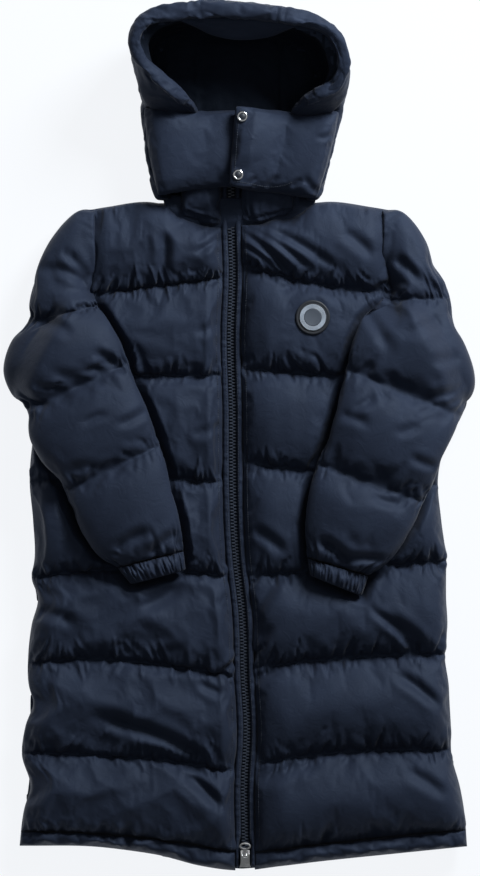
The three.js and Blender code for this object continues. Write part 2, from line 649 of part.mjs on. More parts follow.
// The back lies on the surface: flat below, round at its rim, plain on top where the fronts lie.
const BACK_COLUMNS = 14;
const BACK_ROUND = 24;
const BACK_SHOULDER_ROUND = 8;
const BACK_HEM_ROUND = 18;
const BACK_NECK_ROUND = 5;
function backPanel(fromShare, toShare, steps, narrow) {
  const point = (i, j) => {
    const share = crowded(i, BACK_COLUMNS);
    const down = lerp(fromShare, toShare, steps[j]);
    let y = lerp(hemEdge(0).y, NECK_BACK.y, down);
    let x = 0;
    for (let pass = 0; pass < 4; pass += 1) {
      const edges = bodyEdges(Math.min(y, SHOULDER_TOP_Y));
      x = lerp(edges.left, edges.right, share);
      const neck = Math.abs(x) < NECK_BACK.half ? NECK_BACK.y : shoulderEdge(x).y;
      y = lerp(hemEdge(x).y, neck, down);
    }
    const edges = bodyEdges(Math.min(y, SHOULDER_TOP_Y));
    const radius = y > ARMHOLE_FOOT_Y ? BACK_SHOULDER_ROUND : BACK_ROUND;
    const sideFall = roundOff(Math.min(x - edges.left, edges.right - x), radius);
    const hemFall = roundOff(y - hemEdge(x).y, BACK_HEM_ROUND);
    const neckFall = roundOff(NECK_BACK.y - y, BACK_NECK_ROUND);
    const fall = sideFall * hemFall * neckFall;
    return [x, y, Math.min(BACK_LOFT * (1 - fall), BACK_LOFT - RIM_THICKNESS)];
  };
  return gridSolid(BACK_COLUMNS, steps.length - 1, point, narrow ? facing(point, BACK_LOFT) : BACK_LOFT);
}
const HEM_SHARE = 0.022;
const SEAM_SHARE = 0.0004;
const BACK_STEPS = 22;
const backSteps = [];
for (let step = 0; step <= BACK_STEPS; step += 1) backSteps.push(step / BACK_STEPS);
backSteps.splice(1, 0, 0.012);
backSteps.splice(-1, 0, 0.985, 0.996);
addMesh("back", backPanel(HEM_SHARE + SEAM_SHARE, 1, backSteps, false), navy);
addMesh("hem_back", backPanel(0, HEM_SHARE, [0, 0.1, 0.35, 0.7, 1], true), navy);

// A sleeve section: a padded ring across the sleeve, flat below where it lies on the coat.
function sleeveRing(side, section, count, tall, hollow) {
  const [outer, inner] = [[section.outerX, section.outerY], [section.innerX, section.innerY]];
  const ring = { space: [], plane: [] };
  for (let k = 0; k < count; k += 1) {
    const angle = (2 * Math.PI * k) / count;
    const [c, s] = [Math.cos(angle), Math.sin(angle)];
    const wide = hollow ? hollow.width : 1;
    const across = 0.5 - 0.5 * wide * Math.sign(c) * Math.abs(c) ** SECTION.square;
    const x = lerp(outer[0], inner[0], across);
    const y = lerp(outer[1], inner[1], across);
    const bodyEdge = bodyEdges(Math.min(y, SHOULDER_TOP_Y))[side];
    const insideBody = side === "left" ? x - bodyEdge : bodyEdge - x;
    const onFront = LAYER + PRESSED_THICKNESS + SLEEVE_CLEARANCE;
    const lift = Math.min(Math.max(section.lift, 0), 1);
    const rest = lift * lerp(SECTION.climb, onFront, smoothstep(insideBody, SECTION.from, SECTION.to));
    const middle = rest + tall * (hollow ? SECTION.slitBelly : SECTION.belly);
    const padded = tall * (s > 0 ? 1 - SECTION.belly : SECTION.belly);
    const reach = hollow ? hollow.height / 2 : padded;
    const z = middle + reach * Math.sign(s) * Math.abs(s) ** SECTION.sides;
    ring.space.push([x, y, z]);
    ring.plane.push([across * 100, z]);
  }
  return ring;
}

const SLEEVE_POINTS = 16;
const SLIT_POINTS = 8;
const SLEEVE_STEPS = [0, 0.07, 0.2, 0.4, 0.6, 0.8, 0.93];
const SLEEVE_SEAM_SHARE = 0.72;
const SLEEVE_PUCKER = 1.6;
function sleeve(side) {
  const sections = smoothTable(SLEEVES[side], "at");
  const seams = SLEEVE_SEAMS[side];
  const stations = [];
  for (let band = 0; band + 1 < seams.length; band += 1) {
    for (const part of SLEEVE_STEPS) {
      stations.push({ at: lerp(seams[band], seams[band + 1], part), part });
    }
  }
  stations.push({ at: seams.at(-1), part: 1 });
  const outer = stations.map(({ at, part }, j) => {
    const section = sections(at);
    const arch = lerp(SLEEVE_SEAM_SHARE, 1, Math.sin(Math.PI * part) ** 0.55);
    const ring = sleeveRing(side, section, SLEEVE_POINTS, section.tall * arch);
    ring.space.forEach((point, k) => {
      const onTop = k > 1 && k < SLEEVE_POINTS / 2 - 1;
      const nearSeam = part < 0.15 || part > 0.85;
      const inside = j > 0 && j < stations.length - 1;
      if (onTop && nearSeam && inside) point[2] += SLEEVE_PUCKER * (k % 2 ? 1 : -1) * (1 + uneven(k, j));
    });
    return ring;
  });
  const slit = [0, 2, 4, 6, 8, 10, 12, 14, 16].map((at) => {
    const section = sections(at);
    const seamTall = section.tall * SLEEVE_SEAM_SHARE;
    return sleeveRing(side, section, SLIT_POINTS, seamTall, { width: 0.7, height: 3 });
  });
  return tubeSolid(outer, slit);
}

// A cuff: a short gathered tube that gapes a little.
function cuff(side) {
  const [start, end] = CUFFS[side];
  const sectionAt = (part) => {
    const section = { lift: 1 };
    for (const key of Object.keys(start)) section[key] = lerp(start[key], end[key], part);
    return section;
  };
  const rings = [0, 0.15, 0.5, 0.85, 1].map((part) => {
    const tall = CUFF.tall + CUFF.swell * Math.sin(Math.PI * part);
    const ring = sleeveRing(side, sectionAt(part), CUFF_GATHERS * 2, tall);
    ring.space.forEach((point, k) => {
      const low = k > CUFF_GATHERS;
      if (!low) point[2] += k % 2 ? CUFF.gather : -CUFF.gather;
    });
    ring.plane.forEach((point, k) => {
      point[1] = ring.space[k][2];
    });
    return ring;
  });
  const mouth = { width: CUFF.mouthWidth, height: CUFF.mouthHeight };
  const hollow = [0, 1].map((part) => sleeveRing(side, sectionAt(part), CUFF.mouthPoints, CUFF.tall, mouth));
  return tubeSolid(rings, hollow);
}

for (const side of ["left", "right"]) {
  addMesh(`sleeve_${side}`, sleeve(side), navy);
  addMesh(`cuff_${side}`, cuff(side), navy);
}

// A hood wall: from its back seam along the surface, round the outline and up to the rim.
const HOOD_STEPS = 12;
function hoodProfile(backX, section) {
  const back = new THREE.Vector3(backX, section.backY, 0);
  const outline = new THREE.Vector3(section.outX, section.outY, 0);
  const outward = outline.clone().sub(back).normalize();
  const foot = outline.clone().addScaledVector(outward, -HOOD_FORM.foot);
  const flat = outline.clone().addScaledVector(outward, -HOOD_FORM.flat);
  outline.z = section.middle;
  const rim = new THREE.Vector3(section.rimX, section.rimY, section.rim);
  const upper = outline.clone().lerp(rim, 0.5);
  upper.z += HOOD_FORM.bulge;
  upper.addScaledVector(outward, HOOD_FORM.lean);
  const curve = new THREE.CatmullRomCurve3([back, flat, foot, outline, upper, rim], false, "centripetal");
  const level = new THREE.Vector3(-outward.y, outward.x, 0);
  const profile = [];
  for (let step = 0; step <= HOOD_STEPS; step += 1) {
    const outer = curve.getPointAt(step / HOOD_STEPS);
    outer.z = Math.max(outer.z, 0);
    const tangent = curve.getTangentAt(step / HOOD_STEPS);
    const normal = new THREE.Vector3().crossVectors(level, tangent).normalize().multiplyScalar(-1);
    if (outer.z < 0.01) normal.set(0, 0, 1);
    const inner = outer.clone().addScaledVector(normal, HOOD_WALL);
    inner.z = Math.max(inner.z, step === 0 ? BACK_LOFT : HOOD_FORM.lowestInner);
    profile.push({ outer: outer.toArray(), inner: inner.toArray() });
  }
  return profile;
}

for (const side of ["left", "right"]) {
  const backX = (side === "left" ? -1 : 1) * (HOOD_STRIP_HALF + SEAM_GAP);
  const profiles = HOOD_SIDES[side].map((section) => hoodProfile(backX, section));
  const geometry = gridSolid(
    HOOD_STEPS,
    profiles.length - 1,
    (i, j) => profiles[j][i].outer,
    (i, j) => profiles[j][i].inner,
  );
  addMesh(`hood_side_${side}`, geometry, navy);
}

const STRIP_COLUMNS = 6;
const STRIP_BOW = 4;
const [stripLeft, stripRight] = [HOOD_SIDES.left.at(-1), HOOD_SIDES.right.at(-1)];
const stripProfiles = [];
for (let i = 0; i <= STRIP_COLUMNS; i += 1) {
  const share = i / STRIP_COLUMNS;
  const x = lerp(-HOOD_STRIP_HALF, HOOD_STRIP_HALF, share);
  const bow = STRIP_BOW * Math.sin(Math.PI * share);
  stripProfiles.push(
    hoodProfile(x, {
      backY: HOOD_SIDES.left[0].backY,
      outX: x,
      outY: lerp(stripLeft.outY, stripRight.outY, share) + bow,
      rimX: x,
      rimY: lerp(stripLeft.rimY, stripRight.rimY, share) + bow,
      middle: stripLeft.middle,
      rim: stripLeft.rim,
    }),
  );
}
const stripGeometry = gridSolid(
  HOOD_STEPS,
  STRIP_COLUMNS,
  (i, j) => stripProfiles[j][i].outer,
  (i, j) => stripProfiles[j][i].inner,
);
addMesh("hood_centre", stripGeometry, navy);

const brimLine = new THREE.CatmullRomCurve3(BRIM.map((row) => new THREE.Vector3(row.x, row.y, row.z)));
const brimWidth = smoothTable(BRIM.map((row, i) => ({ at: i / (BRIM.length - 1), half: row.half })), "at");
const BRIM_STEPS = 34;
const BRIM_POINTS = 8;
const brimRings = [];
for (let step = 0; step <= BRIM_STEPS; step += 1) {
  const centre = brimLine.getPoint(step / BRIM_STEPS);
  const tangent = brimLine.getTangent(step / BRIM_STEPS);
  const across = new THREE.Vector3(tangent.y, -tangent.x, 0).normalize();
  const half = brimWidth(step / BRIM_STEPS).half;
  const ring = { space: [], plane: [] };
  for (let k = 0; k < BRIM_POINTS; k += 1) {
    const angle = (2 * Math.PI * k) / BRIM_POINTS;
    const w = half * Math.cos(angle);
    const z = BRIM_HALF_HEIGHT * Math.sin(angle) * (0.92 + 0.08 * uneven(step, 1));
    ring.space.push([centre.x + across.x * w, centre.y + across.y * w, centre.z + z]);
    ring.plane.push([w, z]);
  }
  brimRings.push(ring);
}
addMesh("hood_brim", tubeSolid(brimRings, null), navy);

// A padded neck piece between its four edges.
function edgePoint(points, share) {
  const curve = new THREE.CatmullRomCurve3(points.map(([x, y]) => new THREE.Vector3(x, y, 0)));
  return curve.getPoint(share);
}
const NECK_COLUMNS = 11;
const NECK_ROWS = 8;
const NECK_RIM = 4;
function neckPiece(piece) {
  const plan = (i, j) => {
    const [u, v] = [crowded(i, NECK_COLUMNS), crowded(j, NECK_ROWS)];
    const [low, high] = [edgePoint(piece.low, u), edgePoint(piece.high, u)];
    const [zip, side] = [edgePoint(piece.zip, v), edgePoint(piece.side, v)];
    const corners = [piece.low[0], piece.low.at(-1), piece.high[0], piece.high.at(-1)];
    const blend = (axis) =>
      lerp(low[axis], high[axis], v) +
      lerp(zip[axis], side[axis], u) -
      lerp(
        lerp(corners[0][axis === "x" ? 0 : 1], corners[1][axis === "x" ? 0 : 1], u),
        lerp(corners[2][axis === "x" ? 0 : 1], corners[3][axis === "x" ? 0 : 1], u),
        v,
      );
    return { u, v, x: blend("x"), y: blend("y") };
  };
  const floorAt = (u) => {
    const [atZip, middle, atSide] = piece.floor;
    return u < 0.4
      ? lerp(atZip, middle, smoothstep(u, 0.12, 0.4))
      : lerp(middle, atSide, smoothstep(u, 0.4, 1));
  };
  const outer = (i, j) => {
    const { u, v, x, y } = plan(i, j);
    const edge = roundOff(Math.min(u, 1 - u), 0.16) * roundOff(Math.min(v, 1 - v), 0.2);
    let height = NECK_RIM + piece.crown * edge;
    for (const snap of piece.snaps ? Object.values(SNAPS) : []) {
      const away = Math.hypot(x - snap.x, y - snap.y);
      height = lerp(SNAP_HEIGHT, height, smoothstep(away, SNAP_RADIUS + 5, SNAP_RADIUS + 22));
    }
    return [x, y, floorAt(u) + height];
  };
  const inner = (i, j) => {
    const { u, x, y } = plan(i, j);
    return [x, y, floorAt(u)];
  };
  return gridSolid(NECK_COLUMNS, NECK_ROWS, outer, inner);
}
for (const [name, piece] of Object.entries(NECK_PIECES)) addMesh(name, neckPiece(piece), navy);

// A strip that follows the zip's line, its section given for each height along it.
function zipStrip(fromY, toY, steps, sectionAt) {
  const rings = [];
  for (let step = 0; step <= steps; step += 1) {
    const y = lerp(fromY, toY, step / steps);
    const x = zipLine(y).x;
    const section = sectionAt(y);
    rings.push({ space: section.map(([w, z]) => [x + w, y, z]), plane: section });
  }
  return tubeSolid(rings, null);
}
const ZIP_TOP = 398;
const ZIP_FOOT = -624;
const CHAIN_FOOT = -597;
const ZIP_STEPS = 26;
const TAPE_TOP = LAYER + TAPE_THICKNESS;
const CHAIN_BASE = TAPE_TOP + SEAM_GAP;
const CHAIN_HEIGHT = 5.2;
const tapeSection = [
  [-TAPE_HALF, LAYER],
  [TAPE_HALF, LAYER],
  [TAPE_HALF, TAPE_TOP],
  [-TAPE_HALF, TAPE_TOP],
];
const chainSection = [
  [-CHAIN_HALF, CHAIN_BASE],
  [CHAIN_HALF, CHAIN_BASE],
  [CHAIN_HALF - 1, CHAIN_BASE + CHAIN_HEIGHT],
  [1 - CHAIN_HALF, CHAIN_BASE + CHAIN_HEIGHT],
];
const WELT_POINTS = 6;
const WELT_OPENS = { from: 24, to: 8 };
function weltSection(turn, y) {
  const besideSlider = smoothstep(SLIDER.topY - y, -WELT_OPENS.from, -WELT_OPENS.to);
  const near = CHAIN_HALF + SEAM_GAP + besideSlider * (SLIDER.foot / 2 + SEAM_GAP - CHAIN_HALF);
  const centre = (near + PLACKET_HALF) / 2;
  const half = (PLACKET_HALF - near) / 2;
  const section = [];
  for (let k = 0; k < WELT_POINTS; k += 1) {
    const angle = (Math.PI * 2 * k) / WELT_POINTS;
    const z = CHAIN_BASE + (WELT_HEIGHT / 2) * (1 + Math.sin(angle) / Math.sin(Math.PI / 3));
    section.push([turn * centre + half * Math.cos(angle), z]);
  }
  return section;
}
addMesh("zip_tape", zipStrip(ZIP_FOOT, ZIP_TOP, ZIP_STEPS, () => tapeSection), tapeCloth);
addMesh("zip_chain", zipStrip(CHAIN_FOOT, ZIP_TOP, ZIP_STEPS, () => chainSection), teethPlastic);
for (const [side, turn] of [["left", -1], ["right", 1]]) {
  const geometry = zipStrip(ZIP_FOOT, ZIP_TOP, ZIP_STEPS + 12, (y) => weltSection(turn, y));
  addMesh(`zip_welt_${side}`, geometry, navy);
}

// Joins and cuts of small closed solids.
function solidOf(geometry) {
  const bare = geometry.clone();
  bare.deleteAttribute("normal");
  bare.deleteAttribute("uv");
  const merged = mergeVertices(bare, 1e-4);
  return new wasm.Manifold(
    new wasm.Mesh({
      numProp: 3,
      vertProperties: merged.getAttribute("position").array,
      triVerts: new Uint32Array(merged.getIndex().array),
    }),
  );
}
function geometryOf(solid) {
  const made = solid.getMesh();
  const geometry = new THREE.BufferGeometry();
  geometry.setAttribute("position", new THREE.BufferAttribute(new Float32Array(made.vertProperties), 3));
  geometry.setIndex(new THREE.BufferAttribute(new Uint32Array(made.triVerts), 1));
  geometry.computeVertexNormals();
  return geometry;
}
function joined(solids) {
  return solids.reduce((sum, solid) => sum.add(solid));
}
function placed(geometry, x, y, z) {
  return solidOf(geometry.translate(x, y, z));
}

// The slider: a plate that flares towards the hem, two rails and a pin between two lugs.
const sliderX = zipLine(SLIDER.pinY).x;
const sliderLength = SLIDER.topY - SLIDER.footY;
function sliderBody() {
  const [top, foot] = [SLIDER.top / 2, SLIDER.foot / 2];
  const [straight, bend] = [-sliderLength * 0.6, -sliderLength * 0.85];
  const outline = new THREE.Shape();
  outline.moveTo(-top, 0);
  outline.lineTo(-top, straight);
  outline.quadraticCurveTo(-top, bend, -foot, -sliderLength);
  outline.lineTo(foot, -sliderLength);
  outline.quadraticCurveTo(top, bend, top, straight);
  outline.lineTo(top, 0);
  const plate = new THREE.ExtrudeGeometry(outline, { depth: SLIDER.plate, bevelEnabled: false, curveSegments: 5 });
  const parts = [placed(plate, sliderX, SLIDER.topY, CHAIN_BASE)];
  const railX = SLIDER.top / 2 - SLIDER.rail / 2;
  const lugHeight = SLIDER.pinZ + SLIDER.lug - CHAIN_BASE;
  for (const turn of [-1, 1]) {
    const rail = new THREE.BoxGeometry(SLIDER.rail, sliderLength * 0.7, SLIDER.railHeight);
    parts.push(placed(rail, sliderX + turn * railX, SLIDER.topY - sliderLength * 0.4, railCentreZ));
    const lug = new THREE.BoxGeometry(SLIDER.rail, SLIDER.lug * 2, lugHeight);
    parts.push(placed(lug, sliderX + turn * railX, SLIDER.pinY, CHAIN_BASE + lugHeight / 2));
  }
  const pin = new THREE.CylinderGeometry(SLIDER.pin, SLIDER.pin, SLIDER.top - 1, 12).rotateZ(Math.PI / 2);
  parts.push(placed(pin, sliderX, SLIDER.pinY, SLIDER.pinZ));
  return geometryOf(joined(parts));
}
const railCentreZ = CHAIN_BASE + SLIDER.plate + SLIDER.railHeight / 2 - 0.4;
addMesh("zip_slider", sliderBody(), silver);

// The pull tab: an oval ring on a short neck, with an eye round the slider's pin.
function pullTab() {
  const reach = PULL.ringY - SLIDER.pinY;
  const ring = new THREE.Shape();
  ring.absellipse(0, reach, PULL.ringWidth / 2, PULL.ringDepth / 2, 0, Math.PI * 2);
  const hole = new THREE.Path();
  const rimWidth = PULL.ringRim;
  hole.absellipse(0, reach, PULL.ringWidth / 2 - rimWidth, PULL.ringDepth / 2 - rimWidth, 0, Math.PI * 2);
  ring.holes.push(hole);
  const settings = { depth: PULL.thickness, bevelEnabled: false, curveSegments: 10 };
  const ringSolid = new THREE.ExtrudeGeometry(ring, settings);
  const neckLength = reach - PULL.ringDepth / 2 + rimWidth / 2;
  const neck = new THREE.BoxGeometry(PULL.neck, neckLength, PULL.thickness);
  const eye = new THREE.CylinderGeometry(PULL.eye, PULL.eye, PULL.neck, 16).rotateZ(Math.PI / 2);
  const bore = new THREE.CylinderGeometry(PULL.bore, PULL.bore, PULL.neck * 2, 16).rotateZ(Math.PI / 2);
  const parts = [
    placed(ringSolid, sliderX, SLIDER.pinY, SLIDER.pinZ - PULL.thickness / 2),
    placed(neck, sliderX, SLIDER.pinY + neckLength / 2, SLIDER.pinZ),
    placed(eye, sliderX, SLIDER.pinY, SLIDER.pinZ),
  ];
  return geometryOf(joined(parts).subtract(placed(bore, sliderX, SLIDER.pinY, SLIDER.pinZ)));
}
addMesh("zip_pull", pullTab(), silver);

// The highest point of a mesh's outer face under a disc.
function highestUnder(mesh, x, y, radius) {
  const caster = new THREE.Raycaster();
  mesh.material.side = THREE.DoubleSide;
  mesh.updateMatrixWorld(true);
  let highest = -Infinity;
  for (const share of [0, 0.5, 1]) {
    for (let step = 0; step < 16; step += 1) {
      const angle = (Math.PI * step) / 8;
      const above = new THREE.Vector3(x + radius * share * Math.cos(angle), y + radius * share * Math.sin(angle), 400);
      caster.set(above, new THREE.Vector3(0, 0, -1));
      const hit = caster.intersectObject(mesh)[0];
      if (hit) highest = Math.max(highest, hit.point.z);
    }
  }
  return highest;
}
function disc(radius, height, x, y, floor, segments) {
  return new THREE.CylinderGeometry(radius, radius, height, segments)
    .rotateX(Math.PI / 2)
    .translate(x, y, floor + height / 2);
}
function ringDisc(outer, inner, height, x, y, floor, segments) {
  const profile = [
    new THREE.Vector2(inner, 0),
    new THREE.Vector2(outer, 0),
    new THREE.Vector2(outer, height * 0.6),
    new THREE.Vector2(outer - height * 0.4, height),
    new THREE.Vector2(inner, height),
    new THREE.Vector2(inner, 0),
  ];
  return new THREE.LatheGeometry(profile, segments).rotateX(Math.PI / 2).translate(x, y, floor);
}

// The round chest badge, left plain: a rubber base, a pale ring and a centre disc.
const badgeFloor = highestUnder(coat.getObjectByName("front_right"), BADGE.x, BADGE.y, BADGE.rim) + SEAM_GAP;
addMesh("badge_base", disc(BADGE.rim, BADGE_THICKNESS.base, BADGE.x, BADGE.y, badgeFloor, 36), darkRubber);
const ringFloor = badgeFloor + BADGE_THICKNESS.base + SEAM_GAP;
const badgeRing = ringDisc(
  BADGE.ring,
  BADGE.disc + SEAM_GAP,
  BADGE_THICKNESS.ring,
  BADGE.x,
  BADGE.y,
  ringFloor,
  36,
);
addMesh("badge_ring", badgeRing, greyPlastic);
addMesh("badge_disc", disc(BADGE.disc, BADGE_THICKNESS.disc, BADGE.x, BADGE.y, ringFloor, 30), greyPlastic);

// Two snap caps on the chin guard.
for (const [name, snap] of Object.entries(SNAPS)) {
  const floor = highestUnder(coat.getObjectByName("guard_upper"), snap.x, snap.y, SNAP_RADIUS) + SEAM_GAP;
  addMesh(`snap_${name}`, disc(SNAP_RADIUS, SNAP_THICKNESS, snap.x, snap.y, floor, 24), silver);
}

// The origin lies under the middle of the coat, on the surface.
const extent = new THREE.Box3().setFromObject(coat);
const middle = extent.getCenter(new THREE.Vector3());
coat.position.set(-middle.x, -middle.y, -extent.min.z);

export default coat;
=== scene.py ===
# %% [markdown]
# # A long hooded puffer coat, laid flat
# The coat lies on its back with both sleeves folded over the front. The frame gives the solids of
# the real construction. This lesson dresses each of them in padded nylon, with seams, teeth and
# metal, in metres and in the same place.

# %% Load the frame
import math
import bmesh
import bpy
import numpy as np
from mathutils import Matrix, Vector, noise
from mathutils.bvhtree import BVHTree


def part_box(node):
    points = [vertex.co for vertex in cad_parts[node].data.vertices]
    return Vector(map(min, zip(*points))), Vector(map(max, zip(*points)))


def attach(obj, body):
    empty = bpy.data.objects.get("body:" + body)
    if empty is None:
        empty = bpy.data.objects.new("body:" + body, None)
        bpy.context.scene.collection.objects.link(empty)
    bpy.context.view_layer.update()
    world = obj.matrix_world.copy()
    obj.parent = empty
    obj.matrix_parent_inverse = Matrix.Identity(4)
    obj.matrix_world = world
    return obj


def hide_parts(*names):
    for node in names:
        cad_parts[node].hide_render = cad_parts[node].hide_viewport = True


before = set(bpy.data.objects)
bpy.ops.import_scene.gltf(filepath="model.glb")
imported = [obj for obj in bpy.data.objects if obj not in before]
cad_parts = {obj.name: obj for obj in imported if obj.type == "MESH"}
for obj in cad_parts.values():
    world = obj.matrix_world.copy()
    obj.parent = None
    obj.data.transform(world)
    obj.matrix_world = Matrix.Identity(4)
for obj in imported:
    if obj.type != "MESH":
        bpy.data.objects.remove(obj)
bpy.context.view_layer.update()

MM = 0.001

# %% [markdown]
# ## Camera and light
# A coat laid flat is photographed from straight above. The camera stands high with a long lens,
# so that the raised sleeves hardly grow. One soft light stands beyond the hood and to the right,
# low enough to leave the lower edge of every padded channel in shade. The floor gives off light
# of its own, so that it stays as white as paper round a dark coat.

# %% Camera, lights and floor
photo_height = 876
metres_per_pixel = 1.45 * MM
camera_height = 9.0
mean_coat_height = 0.045
sensor_width = 36.0
floor_half = 30.0
floor_depth = 0.0004
view_length = photo_height * metres_per_pixel
camera_data = bpy.data.cameras.new("camera")
camera_data.sensor_width = sensor_width
camera_data.lens = sensor_width * (camera_height - mean_coat_height) / view_length
camera = bpy.data.objects.new("camera", camera_data)
camera.location = (0.0, 0.0, camera_height)
bpy.context.scene.collection.objects.link(camera)
bpy.context.scene.camera = camera


def soft_light(name, place, aim, size, power, tint):
    light_data = bpy.data.lights.new(name, "AREA")
    light_data.size = size
    light_data.energy = power
    light_data.color = tint
    light = bpy.data.objects.new(name, light_data)
    light.location = place
    light.rotation_euler = (Vector(aim) - Vector(place)).to_track_quat("-Z", "Y").to_euler()
    bpy.context.scene.collection.objects.link(light)


coat_middle = (0.0, 0.0, 0.0)
soft_light(
    "window", place=(1.4, 2.0, 1.55), aim=coat_middle, size=1.0, power=108.0, tint=(0.93, 0.97, 1.0)
)
soft_light(
    "sky", place=(0.4, 0.5, 2.9), aim=coat_middle, size=1.8, power=4.0, tint=(1.0, 1.0, 1.0)
)
world = bpy.data.worlds.new("studio")
world.use_nodes = True
air = world.node_tree.nodes["Background"]
air.inputs["Color"].default_value = (0.93, 0.96, 1.0, 1.0)
air.inputs["Strength"].default_value = 0.13
bpy.context.scene.world = world
bpy.context.scene.view_settings.view_transform = "Standard"

floor_mesh = bpy.data.meshes.new("floor")
floor_shape = bmesh.new()
bmesh.ops.create_grid(floor_shape, x_segments=1, y_segments=1, size=floor_half)
bmesh.ops.translate(floor_shape, vec=(0.0, 0.0, -floor_depth), verts=floor_shape.verts)
floor_shape.to_mesh(floor_mesh)
floor_shape.free()
floor = bpy.data.objects.new("floor", floor_mesh)
bpy.context.scene.collection.objects.link(floor)
floor_paint = bpy.data.materials.new("pale floor")
floor_paint.use_nodes = True
floor_shader = floor_paint.node_tree.nodes["Principled BSDF"]
floor_shader.inputs["Base Color"].default_value = (0.08, 0.085, 0.09, 1)
floor_shader.inputs["Roughness"].default_value = 0.9
floor_shader.inputs["Emission Color"].default_value = (0.95, 0.97, 1, 1)
floor_shader.inputs["Emission Strength"].default_value = 0.92
floor_mesh.materials.append(floor_paint)
print("camera lens in mm:", round(camera_data.lens, 1))

# %% [markdown]
# ## The plan of the coat
# A tailor works from the edges of each piece. The tables below hold the outline of the coat as it
# lies, the line of the zip and the quilting seams, in millimetres. A smooth curve through each
# column gives the points between. The frame's origin lies under the middle of the coat, so the
# tables are first moved by the small distance that the chest badge shows.

# %% Tables and the curves through them
badge_low, badge_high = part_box("badge_base")
badge_plan = (107.0, 175.0)
shift_x = (badge_low[0] + badge_high[0]) / 2 / MM - badge_plan[0]
shift_y = (badge_low[1] + badge_high[1]) / 2 / MM - badge_plan[1]
table_shift = np.array([shift_x, shift_y, 0.0])


def curve_through(knots, values):
    knots = np.array(knots, float)
    values = np.array(values, float)
    slopes = np.gradient(values, knots)

    def read(at):
        at = np.clip(np.asarray(at, float), knots[0], knots[-1])
        i = np.clip(np.searchsorted(knots, at) - 1, 0, len(knots) - 2)
        span = knots[i + 1] - knots[i]
        t = (at - knots[i]) / span
        start = values[i] * (2 * t**3 - 3 * t**2 + 1) + slopes[i] * span * (t**3 - 2 * t**2 + t)
        end = values[i + 1] * (3 * t**2 - 2 * t**3) + slopes[i + 1] * span * (t**3 - t**2)
        return start + end

    return read


def columns(rows):
    return list(zip(*rows))


# height along the coat, left side edge, right side edge
body_rows = [
    (-632, -321, 334), (-587, -318, 331), (-539, -312, 327), (-506, -303, 321), (-461, -315, 309),
    (-418, -310, 308), (-383, -299, 306), (-360, -305, 305), (-315, -306, 299), (-271, -301, 303),
    (-231, -292, 301), (-203, -301, 301), (-177, -297, 301), (-119, -299, 294), (-61, -304, 289),
    (1, -299, 298), (99, -281, 279), (154, -252, 253), (209, -225, 225), (287, -222.5, 222.5),
    (331, -221, 221),
]
# height along the coat, place of the zip's teeth
zip_rows = [
    (-632, 9), (-583, 9), (-503, 8), (-423, 12), (-348, 8), (-254, 5), (-174, -4), (-15, -9),
    (28, -9), (152, -12), (241, -9), (306, -11), (402, -11),
]
# place across, height of the shoulder and neck edge
shoulder_rows = [
    (-221, 331), (-192, 336), (-120, 342), (-104, 338), (-92, 326), (-75, 318), (-50, 309),
    (-24, 306), (4, 310), (31, 312), (49, 318), (78, 322), (92, 331), (107, 341), (120, 343),
    (192, 336), (221, 331),
]
# place across, height of the hem
hem_rows = [
    (-320, -592), (-202, -594), (-159, -599), (-115, -606), (-57, -621), (1, -628), (59, -622),
    (117, -615), (233, -603), (331, -593),
]
body_columns = columns(body_rows)
body_edge = {
    "left": curve_through(body_columns[0], body_columns[1]),
    "right": curve_through(body_columns[0], body_columns[2]),
}
zip_x = curve_through(*columns(zip_rows))
shoulder_y = curve_through(*columns(shoulder_rows))
hem_y = curve_through(*columns(hem_rows))
# each quilting seam's height at the side, halfway and at the zip
seam_rows = {
    "left": [
        (209, 221, 235), (84, 92, 91), (-61, -57, -65), (-202, -190, -200), (-325, -323, -347),
        (-457, -463, -484), (-571, -578, -601),
    ],
    "right": [
        (212, 224, 254), (84, 91, 102), (-68, -54, -34), (-177, -188, -199), (-313, -318, -333),
        (-453, -455, -471), (-569, -584, -602),
    ],
}
seam_gap = 0.3
back_loft = 22.0
layer = back_loft + seam_gap
placket_half = 14.0
shoulder_line = 331
print("coat's table shift in mm:", round(shift_x, 2), round(shift_y, 2))

# %% [markdown]
# ## Puffing cloth
# A quilted channel is two layers of cloth, sewn together along its seams and pushed apart by the
# fill. The cloth between two seams is longer than the gap it spans, so it wrinkles where the
# thread holds it back. Blender's cloth does the same: the sewn points are pinned, the sheet is
# allowed to grow by a few per cent, and pressure pushes it out. The grid is too coarse for the
# sharpest puckers, so those are pressed in afterwards, and noise gives each its own length, slant
# and depth, which no repeated pattern would.

# %% Helpers that make a grid and puff it
def grid_piece(name, places, wrap=False):
    rows, cols, _ = places.shape
    shape = bmesh.new()
    bmesh.ops.create_grid(shape, x_segments=cols - 1, y_segments=rows - 1, size=1.0)
    row_number = shape.verts.layers.int.new("row")
    column_number = shape.verts.layers.int.new("column")
    for vert in shape.verts:
        i = round((vert.co.x + 1) / 2 * (cols - 1))
        j = round((vert.co.y + 1) / 2 * (rows - 1))
        vert[row_number] = j
        vert[column_number] = i
        vert.co = Vector(places[j, i]) * MM
    if wrap:
        seam = [v for v in shape.verts if v[column_number] in (0, cols - 1)]
        bmesh.ops.remove_doubles(shape, verts=seam, dist=0.00001)
        bmesh.ops.recalc_face_normals(shape, faces=shape.faces)
    elif sum(face.calc_area() * face.normal.z for face in shape.faces) < 0:
        bmesh.ops.reverse_faces(shape, faces=shape.faces)
    return finished(shape, name)


def finished(shape, name):
    mesh = bpy.data.meshes.new(name)
    for face in shape.faces:
        face.smooth = True
    shape.to_mesh(mesh)
    shape.free()
    piece = bpy.data.objects.new(name, mesh)
    bpy.context.scene.collection.objects.link(piece)
    return piece


